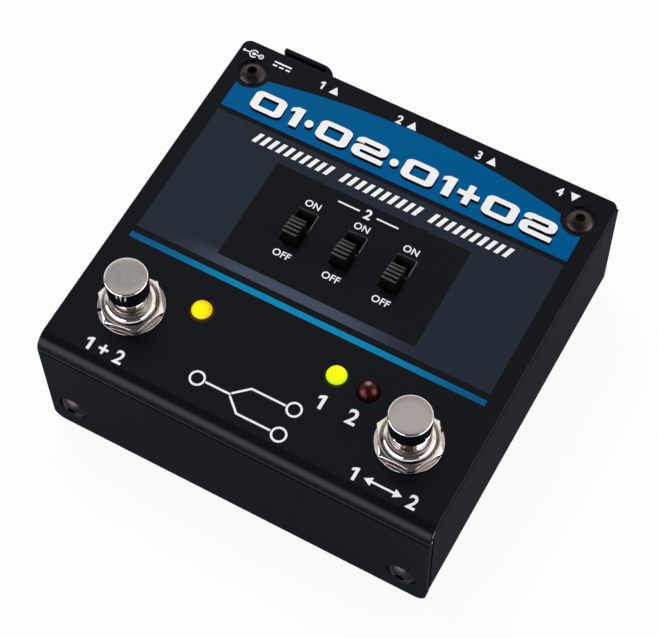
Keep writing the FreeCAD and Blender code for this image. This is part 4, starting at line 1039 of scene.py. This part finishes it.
class PEDAL_OT_labels(Operator):
    """Prints plain numbers, ON and OFF, arrows and the routing diagram"""
    bl_idname = "pedal.labels"
    bl_label = "Labels"

    def execute(self, context):
        span = ink_span(1)
        left, right = [middle("footswitch_cap_" + side).x for side in SIDES]
        cap, small = 3.2 * MM, 1.7 * MM
        meshes = label("1 + 2", cap, left + 0.5 * MM, -43.0 * MM, span, 0.22)
        meshes += self.either_mark(right, -42.8 * MM, cap, span)
        for node, text in (("led_green", "1"), ("led_red", "2")):
            meshes += label(text, 3.6 * MM, middle(node).x - 0.1 * MM, -31.5 * MM, span)
        for side in SLIDES:
            x = middle("slide_knob_" + side).x
            meshes.append(lettering("ON", small, x, 12.5 * MM, span, 0.03))
            meshes.append(lettering("OFF", small, x, -2.3 * MM, span, 0.03))
        meshes += self.heading(span) + self.jack_marks(span) + self.inlet_mark(span)
        shape = bmesh.new()
        for mesh in meshes:
            shape.from_mesh(mesh)
        piece("white_labels", to_mesh("white_labels", shape, False), white_ink, CASE, "cover_paint")
        printed("routing_diagram", self.diagram(), 1, white_ink)
        return {"FINISHED"}

    def heading(self, span):
        """A 2 over the slide switches, with a line to each side of it."""
        y, cap, half = 15.8 * MM, 2.5 * MM, 0.2 * MM
        near_end, far_end = 2.2 * MM, 7.8 * MM
        lines = [print_of("heading_line", [rectangle(*ends, y + cap / 2 - half, y + cap / 2 + half)], span)
                 for ends in ((-far_end, -near_end), (near_end, far_end))]
        return label("2", cap, 0, y, span) + lines

    def either_mark(self, x, y, cap, span):
        """1 and 2 with an arrow between them that points both ways."""
        meshes = label("1", cap, x - 7.0 * MM, y, span) + label("2", cap, x + 7.2 * MM, y, span)
        level, reach, head, barb, half = y + cap / 2, 4.6 * MM, 1.9 * MM, 1.05 * MM, 0.24 * MM
        side = ((-reach, 0), (head - reach, -barb), (head - reach, -half), (reach - head, -half),
                (reach - head, -barb))
        arrow = [(x + way * across, level + way * up) for way in (1, -1) for across, up in side]
        return meshes + [print_of("either_arrow", [arrow], span)]

    def jack_marks(self, span):
        """A number over each jack, and an arrow out of the box or, for the last jack, into it."""
        meshes = []
        base = 42.5 * MM
        tall = 2.2 * MM
        for number in JACKS:
            x = middle("jack_body_%d" % number).x
            meshes += label(str(number), tall, x - 1.6 * MM, base, span)
            tip, foot = (base, base + tall) if number == JACKS[-1] else (base + tall, base)
            arrow = [(x + 0.7 * MM, foot), (x + 3.1 * MM, foot), (x + 1.9 * MM, tip)]
            meshes.append(print_of("arrow", [arrow], span))
        return meshes

    def inlet_mark(self, span):
        """The standard mark of a centre-negative inlet, and the mark for direct current."""
        x, y, stroke = -45.4 * MM, 43.75 * MM, 0.3 * MM
        sleeve = arc(x, y, 1.0 * MM, math.radians(40), math.radians(320), 20)
        minus, plus = x + 1.95 * MM, x - 2.6 * MM
        loops = [[circle(minus, y, 0.68 * MM, 24), circle(minus, y, 0.42 * MM, 24)],
                 [ribbon(sleeve, stroke)],
                 [circle(x, y, 0.42 * MM, 24)],
                 [circle(plus, y, 0.36 * MM, 24)],
                 [ribbon([(x - 2.3 * MM, y), (x - 1.12 * MM, y)], stroke)],
                 [ribbon([(x + 0.4 * MM, y), (minus - 0.6 * MM, y)], stroke)],
                 [rectangle(minus - 0.26 * MM, minus + 0.26 * MM, y - 0.09 * MM, y + 0.09 * MM)]]
        start, end, thick = -39.9 * MM, -35.3 * MM, 0.42 * MM
        loops.append([ribbon([(start, y + 0.45 * MM), (end, y + 0.45 * MM)], thick)])
        dash = (end - start) / 4
        for step in range(3):
            left = start + step * 1.5 * dash
            loops.append([ribbon([(left, y - 0.55 * MM), (left + dash, y - 0.55 * MM)], thick)])
        return [print_of("inlet_mark", loop, span) for loop in loops]

    def diagram(self):
        """One line that forks to two ends, drawn with open rings at its three ends."""
        stroke, ring, clear = 0.5 * MM, 1.9 * MM, 2.1 * MM
        start, fork = Vector((-13.0, -37.6)) * MM, Vector((-4.6, -37.6)) * MM
        loops = [circle(start.x, start.y, ring), circle(start.x, start.y, ring - stroke)]
        loops.append(ribbon([(start.x + clear, start.y), (fork.x, fork.y)], stroke))
        for way in (1, -1):
            end = Vector((9.4 * MM, fork.y + way * 3.4 * MM))
            bend = Vector((fork.x + 3.4 * MM, end.y))
            first = fork + Vector((0.05, way * 0.35)) * MM
            loops.append(ribbon([tuple(first), tuple(bend), (end.x - clear, end.y)], stroke))
            loops += [circle(end.x, end.y, ring), circle(end.x, end.y, ring - stroke)]
        return loops


def button_screw(head, tall, long):
    """A button head screw along Z, its head up and the head's underside at zero."""
    flats, deep, shank, lip = 2.0 * MM, 0.85 * MM, 3.5 * MM, 0.1 * MM
    half = head / 2
    rise = tall + lip
    sphere = (half ** 2 + rise ** 2) / (2 * rise)
    sink = sphere - rise
    mouth = flats / 2 / math.cos(math.pi / 6) + 0.12 * MM
    rings = [(0, -long), (shank / 2 - 0.4 * MM, -long), (shank / 2, -long + 0.4 * MM), (shank / 2, 0),
             (half - 0.15 * MM, 0), (half, lip)]
    dome = arc(0, -sink, sphere, math.asin((sink + lip) / sphere), math.acos(mouth / sphere), 14)
    rings += [(out, min(up, tall)) for out, up in dome[1:]]
    socket = hexagon(flats)
    rim = rings[-1][1]
    rings += [(socket, rim - 0.12 * MM), (socket, tall - deep), (0, tall - deep - 0.25 * MM)]
    return rounded(turned("screw", rings, 72), sharp=28)


class PEDAL_OT_screws(Operator):
    """Sets the button head screws of the cover and the hook"""
    bl_idname = "pedal.screws"
    bl_label = "Screws"

    def execute(self, context):
        x, y = screw_place()
        z = middle("front_screws").z
        recess = 0.5 * MM
        seat = plate_top() - recess
        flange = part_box("top_cover")[0].y + recess
        cover = (6.65 * MM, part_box("top_screws")[1].z - seat, 6.35 * MM)
        low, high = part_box("hook_screw")
        head = 1.5 * MM
        hook = (5.6 * MM, head, high.y - low.y - head)
        foot = ((low.x + high.x) / 2, high.y - head, (low.z + high.z) / 2)
        screws = (("top_button_screws", "top_screws", cover,
                   [((-x, y, seat), UP, 0.3), ((x, y, seat), UP, 0.75)]),
                  ("flange_button_screws", "front_screws", cover,
                   [((-x, flange, z), FRONT, 0.5), ((x, flange, z), FRONT, 0.1)]),
                  ("hook_button_screw", "hook_screw", hook, [(foot, BACK, 0.4)]))
        for name, node, size, spots in screws:
            copies(name, button_screw(*size), black_nickel, "screw_black_nickel", spots, node)
        return {"FINISHED"}


def hex_nut(flats, bore, tall):
    """A nut chamfered on both faces, standing on zero."""
    crown = flats / 2 - 0.15 * MM
    flat = hexagon(flats)
    slope = math.tan(math.radians(30))
    lead = 0.3 * MM

    def fall(turn):
        return slope * (flat(turn) - crown)

    rings = [(bore / 2 + lead, tall), (crown, tall), (flat, lambda turn: tall - fall(turn)), (flat, fall),
             (crown, 0), (bore / 2 + lead, 0), (bore / 2, lead), (bore / 2, tall - lead)]
    return rounded(turned("nut", rings), 0.06 * MM, 2, sharp=22)


class PEDAL_OT_footswitches(Operator):
    """Turns the caps, stems, bushings, nuts and washers of the two footswitches"""
    bl_idname = "pedal.footswitches"
    bl_label = "Footswitches"

    def execute(self, context):
        for side in SIDES:
            body = "plunger_" + side
            cap, stem, bushing = ["footswitch_%s_%s" % (word, side) for word in ("cap", "plunger", "bushing")]
            piece("cap_" + side, self.cap(cap), satin_chrome, body, "cap_chrome", cap)
            softened("stem_" + side, stem, bright_nickel, body, "nickel")
            softened("bushing_" + side, bushing, threaded_nickel, CASE, "nickel")
            self.spring(side, middle(cap))
        low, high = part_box("hex_nuts")
        spots = [((middle("footswitch_cap_" + side).x, middle("footswitch_cap_" + side).y, low.z), UP,
                  math.radians(turn)) for side, turn in zip(SIDES, (11, 1))]
        copies("panel_nuts", hex_nut(13.6 * MM, 12.2 * MM, high.z - low.z), bright_nickel, "nickel", spots,
               "hex_nuts")
        softened("key_washers", "keyed_washers", bright_nickel, CASE, "nickel",
                 context.scene.pedal_sizes.fine_arris)
        return {"FINISHED"}

    def cap(self, node):
        """A round cap with a rolled rim, hollow where the stem enters it."""
        low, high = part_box(node)
        radius = (high.x - low.x) / 2
        bore, roof, rim = 2.97 * MM, 1.98 * MM, 0.4 * MM
        base, top = low.z, high.z
        rings = [(0, top - roof), (bore, top - roof), (bore, base + 0.15 * MM), (bore + 0.15 * MM, base),
                 (radius - 0.25 * MM, base), (radius, base + 0.25 * MM)]
        rings += arc(radius - rim, top - rim, rim, 0, math.pi / 2, 6)
        rings += [(radius * 0.6, top), (radius * 0.3, top), (0, top)]
        return placed(rounded(turned("cap", rings, 128), sharp=35), *middle(node).xy)

    def spring(self, side, axis):
        """The return spring: a coil of wire round its footswitch's axis."""
        node = "return_spring_" + side
        low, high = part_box(node)
        wire = 0.8 * MM
        foot = Vector((axis.x, axis.y, low.z + wire / 2))
        mesh = run(coil_tree, link("return_coil_" + side, bpy.data.meshes.new("coil")),
                   {"Radius": (high.x - low.x - wire) / 2, "Rise": high.z - low.z - wire, "Turns": 5.5,
                    "Wire": wire / 2, "Foot": foot, "Finish": finish(music_wire)})
        mesh.shade_smooth()
        made = piece("return_coil_" + side, mesh, music_wire, CASE, "spring_steel", node)
        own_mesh(made)


class PEDAL_OT_lenses(Operator):
    """Moulds the three indicator lenses"""
    bl_idname = "pedal.lenses"
    bl_label = "Lenses"

    def execute(self, context):
        for name, maker in (("amber", lit_amber_lens), ("green", lit_green_lens), ("red", dark_red_lens)):
            node = "led_" + name
            low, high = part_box(node)
            radius, foot, foot_top = 2.45 * MM, (high.x - low.x) / 2, low.z + 1.0 * MM
            rings = [(0, low.z), (foot, low.z), (foot, foot_top), (radius, foot_top)]
            rings += arc(0, high.z - radius, radius, 0, math.pi / 2, 16)[:-1] + [(0, high.z)]
            mesh = placed(rounded(turned("lens", rings, 64)), *middle(node).xy)
            piece("lens_" + name, mesh, maker, CASE, "lens_" + name, node)
        return {"FINISHED"}


class PEDAL_OT_slides(Operator):
    """Moulds the ridged knobs of the slide switches"""
    bl_idname = "pedal.slides"
    bl_label = "Slide knobs"

    def execute(self, context):
        for side in SLIDES:
            softened("ridged_knob_" + side, "slide_knob_" + side, black_abs, "slide_" + side, "knob_plastic",
                     context.scene.pedal_sizes.fine_arris)
        return {"FINISHED"}


class PEDAL_OT_sockets(Operator):
    """Dresses the four jacks and the power inlet on the rear panel"""
    bl_idname = "pedal.sockets"
    bl_label = "Sockets"

    def execute(self, context):
        fine = context.scene.pedal_sizes.fine_arris
        bodies = [("jack_socket_%d" % number, "jack_body_%d" % number) for number in JACKS]
        for name, node in bodies + [("inlet_socket", "dc_inlet")]:
            softened(name, node, black_nylon, CASE, "socket_plastic", fine)
        softened("inlet_pin", "dc_pin", bright_nickel, CASE, "nickel")
        low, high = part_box("jack_nuts")
        nut = hex_nut(12.7 * MM, 9.6 * MM, high.y - low.y)
        turns = (0.2, 0.75, 0.45, 0.05)
        spots = [(self.axis(number, low.y), BACK, turn) for number, turn in zip(JACKS, turns)]
        copies("socket_nuts", nut, bright_nickel, "nickel", spots, "jack_nuts")
        low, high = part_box("jack_washers")
        thick = high.y - low.y
        bore, rim = 4.9 * MM, 6.75 * MM
        rings = [(bore, thick), (rim - 0.12 * MM, thick), (rim, thick - 0.12 * MM), (rim, 0.1 * MM),
                 (rim - 0.1 * MM, 0), (bore, 0)]
        spots = [(self.axis(number, low.y), BACK, 0.0) for number in JACKS]
        copies("socket_washers", rounded(turned("washer", rings, 72)), bright_nickel, "nickel", spots,
               "jack_washers")
        return {"FINISHED"}

    def axis(self, number, y):
        """A point on a jack's axis."""
        return (middle("jack_body_%d" % number).x, y, middle("jack_nuts").z)


CARRIED = (
    (zinc_plate, ("board_screws", "board_standoffs", "clinch_nuts", "slide_frame", "inner_nuts")),
    (bright_nickel, ("jack_contacts",)),
    (stamped_brass, ("contact_bridge", "footswitch_lugs", "slide_wiper", "slide_pins", "led_leads")),
    (black_nylon, ("board_headers", "slide_base")),
    (phenolic, ("footswitch_housing",)),
    (white_nylon, ("led_spacers",)),
    (solder_mask, ("main_board", "switch_board")),
    (core_laminations, ("transformer_core",)),
    (winding_tape, ("transformer_winding",)),
    (can_sleeve, ("capacitors",)),
)


class PEDAL_OT_inside(Operator):
    """Gives the pieces inside the box their finishes"""
    bl_idname = "pedal.inside"
    bl_label = "Inner pieces"

    def execute(self, context):
        for maker, starts in CARRIED:
            for name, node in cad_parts.items():
                if name.startswith(starts):
                    for slot in node.material_slots:
                        slot.material = finish(maker)
        return {"FINISHED"}


LAMPS = (
    # name, direction from the object, distance, width, height, share of a full exposure, seen only as gloss
    # Between the two strips the metal sees the dark camera.
    ("overhead_softbox", (-0.38, 0.32, 1.0), 1.0, 0.5, 0.5, 0.46, False),
    ("front_softbox", (-0.30, -1.0, 0.55), 1.0, 0.5, 0.5, 0.13, False),
    ("right_softbox", (1.0, 0.1, 0.6), 1.1, 0.6, 0.6, 0.12, False),
    ("left_strip", (-0.51, -0.82, 0.31), 1.0, 1.56, 0.66, 1.85, True),
    ("right_strip", (0.965, 0.06, 0.26), 1.0, 1.23, 0.5, 0.95, True),
)
FULL_EXPOSURE = math.pi ** 2
# Brightness at heights from the horizon, nought, to straight up, one.
WALL = ((0.0, 0.45), (0.2, 0.85), (0.7, 0.85), (0.77, 0.4), (0.83, 0.15), (0.87, 0.2), (0.91, 0.56),
        (0.95, 0.2), (1.0, 0.06))
ROOM = ((0.0, 0.08), (0.5, 0.06), (0.8, 0.05), (1.0, 0.06))


class PEDAL_OT_stage(Operator):
    """Lays the floor, hangs the lamps and sets the camera"""
    bl_idname = "pedal.stage"
    bl_label = "Stage"

    def execute(self, context):
        stage = context.scene.pedal_stage
        context.scene.view_settings.view_transform = "Standard"
        self.floor(stage)
        self.air(context, stage)
        for lamp in LAMPS:
            self.lamp(*lamp)
        self.camera(context, stage)
        return {"FINISHED"}

    def seen_by(self, tree, name):
        """One for rays of a kind, and nought for the rest."""
        return add(tree, "ShaderNodeLightPath").outputs["Is %s Ray" % name]

    def looked_at(self, tree):
        """One for rays from the camera or through glass, and nought for the rest."""
        return maths(tree, "MAXIMUM", self.seen_by(tree, "Camera"), self.seen_by(tree, "Transmission"))

    def either(self, tree, share, first, second):
        """A mix of two shaders."""
        return add(tree, "ShaderNodeMixShader", {0: share, 1: first, 2: second}).outputs["Shader"]

    def floor(self, stage):
        """A pale round floor: white to the camera but for the shadow, and dim in the gloss near the box."""
        shape = bmesh.new()
        bmesh.ops.create_circle(shape, cap_ends=True, segments=96, radius=stage.floor_radius)
        mesh = to_mesh("studio_floor", shape, False)
        material = bpy.data.materials.new("pale_floor_card")
        material.use_nodes = True
        tree = material.node_tree
        tree.nodes.clear()
        matt = principled(tree, Base_Color=linear("F2F2F2"), Roughness=0.9, Specular_IOR_Level=0.1)
        white = shining(tree, "Emission", WHITE, 1.0)
        away = vectors(tree, "LENGTH", place_of(tree), out="Value")
        dim = shining(tree, "Emission", linear("DDE3F2"), ranged(tree, away, 0.06, 0.35, 0.3, 1.7))
        plain = self.either(tree, maths(tree, "MULTIPLY", self.looked_at(tree), 0.93), matt, white)
        whole = self.either(tree, self.seen_by(tree, "Glossy"), plain, dim)
        add(tree, "ShaderNodeOutputMaterial", {"Surface": whole})
        mesh.materials.append(material)
        link("studio_floor", mesh)

    def heights(self, tree, height, stops):
        """Brightness that changes with height."""
        made = add(tree, "ShaderNodeValToRGB", {"Fac": height})
        ramp = made.color_ramp
        ramp.elements.remove(ramp.elements[1])
        for at, (place, value) in enumerate(stops):
            stop = ramp.elements[0] if at == 0 else ramp.elements.new(place)
            stop.position = place
            stop.color = (value, value, value, 1.0)
        return made.outputs["Color"]

    def air(self, context, stage):
        """Even light from all round. Metal sees a pale wall behind the box and a dim room before it."""
        world = bpy.data.worlds.new("studio_air")
        world.use_nodes = True
        tree = world.node_tree
        tree.nodes.clear()
        way = add(tree, "ShaderNodeTexCoord").outputs["Generated"]
        height = part(tree, way, "Z")
        behind = ranged(tree, part(tree, way, "Y"), -0.15, 0.15)
        around = mixed(tree, behind, self.heights(tree, height, ROOM), self.heights(tree, height, WALL))
        even, white, mirrored = [shining(tree, "Background", tint, strength)
                                 for tint, strength in ((WHITE, stage.sky), (WHITE, 1.0), (around, 1.6))]
        lit = self.either(tree, self.seen_by(tree, "Glossy"), even, mirrored)
        whole = self.either(tree, self.looked_at(tree), lit, white)
        add(tree, "ShaderNodeOutputWorld", {"Surface": whole})
        context.scene.world = world

    def lamp(self, name, way, distance, wide, tall, share, gloss):
        """A softbox that faces the object, which either lights it or is seen in its gloss."""
        place = Vector(way).normalized() * distance
        data = bpy.data.lights.new(name, "AREA")
        data.shape = "RECTANGLE"
        data.size = wide
        data.size_y = tall
        data.energy = share * FULL_EXPOSURE * distance ** 2
        data.color = (0.85, 0.85, 1.0) if gloss else (1.0, 1.0, 1.0)
        made = link(name, data)
        made.visible_glossy = gloss
        made.visible_diffuse = not gloss
        made.matrix_world = Matrix.Translation(place) @ place.to_track_quat("Z", "Y").to_matrix().to_4x4()

    def camera(self, context, stage):
        """The photograph's view."""
        across = Vector((math.cos(stage.azimuth), -math.sin(stage.azimuth), 0))
        level = math.cos(stage.elevation)
        ahead = Vector((math.sin(stage.azimuth) * level, math.cos(stage.azimuth) * level,
                        -math.sin(stage.elevation)))
        up = across.cross(ahead)
        right = across * math.cos(stage.roll) + up * math.sin(stage.roll)
        top = up * math.cos(stage.roll) - across * math.sin(stage.roll)
        data = bpy.data.cameras.new("photo_camera")
        data.sensor_width = 36.0
        data.lens = stage.focal / stage.picture_width * data.sensor_width
        made = link("photo_camera", data)
        turn = Matrix((right, top, -ahead)).transposed().to_4x4()
        made.matrix_world = Matrix.Translation(Vector(stage.target) - ahead * stage.distance) @ turn
        context.scene.camera = made


OPERATORS = (PEDAL_OT_stage, PEDAL_OT_case, PEDAL_OT_panels, PEDAL_OT_title, PEDAL_OT_labels, PEDAL_OT_screws,
             PEDAL_OT_footswitches, PEDAL_OT_lenses, PEDAL_OT_slides, PEDAL_OT_sockets, PEDAL_OT_inside)
GROUPS = (("pedal_sizes", PedalSizes), ("pedal_colours", PedalColours), ("pedal_stage", PedalStage))


class PEDAL_PT_sidebar(Panel):
    """Lists the pedal's pieces, sizes and colours"""
    bl_idname = "PEDAL_PT_sidebar"
    bl_label = "Switch pedal"
    bl_space_type = "VIEW_3D"
    bl_region_type = "UI"
    bl_category = "Pedal"

    def draw(self, context):
        column = self.layout.column(align=True)
        for operator in OPERATORS:
            column.operator(operator.bl_idname)
        for name, group in GROUPS:
            box = self.layout.box()
            for setting in group.__annotations__:
                box.prop(getattr(context.scene, name), setting)


def register():
    for name, group in GROUPS:
        bpy.utils.register_class(group)
        setattr(bpy.types.Scene, name, PointerProperty(type=group))
    for made in OPERATORS + (PEDAL_PT_sidebar,):
        bpy.utils.register_class(made)


def unregister():
    for made in (PEDAL_PT_sidebar,) + OPERATORS[::-1]:
        bpy.utils.unregister_class(made)
    for name, group in GROUPS[::-1]:
        delattr(bpy.types.Scene, name)
        bpy.utils.unregister_class(group)


def main():
    """Builds every piece in order."""
    register()
    for operator in OPERATORS:
        getattr(bpy.ops.pedal, operator.bl_idname.removeprefix("pedal."))()


if __name__ == "__main__":
    main()
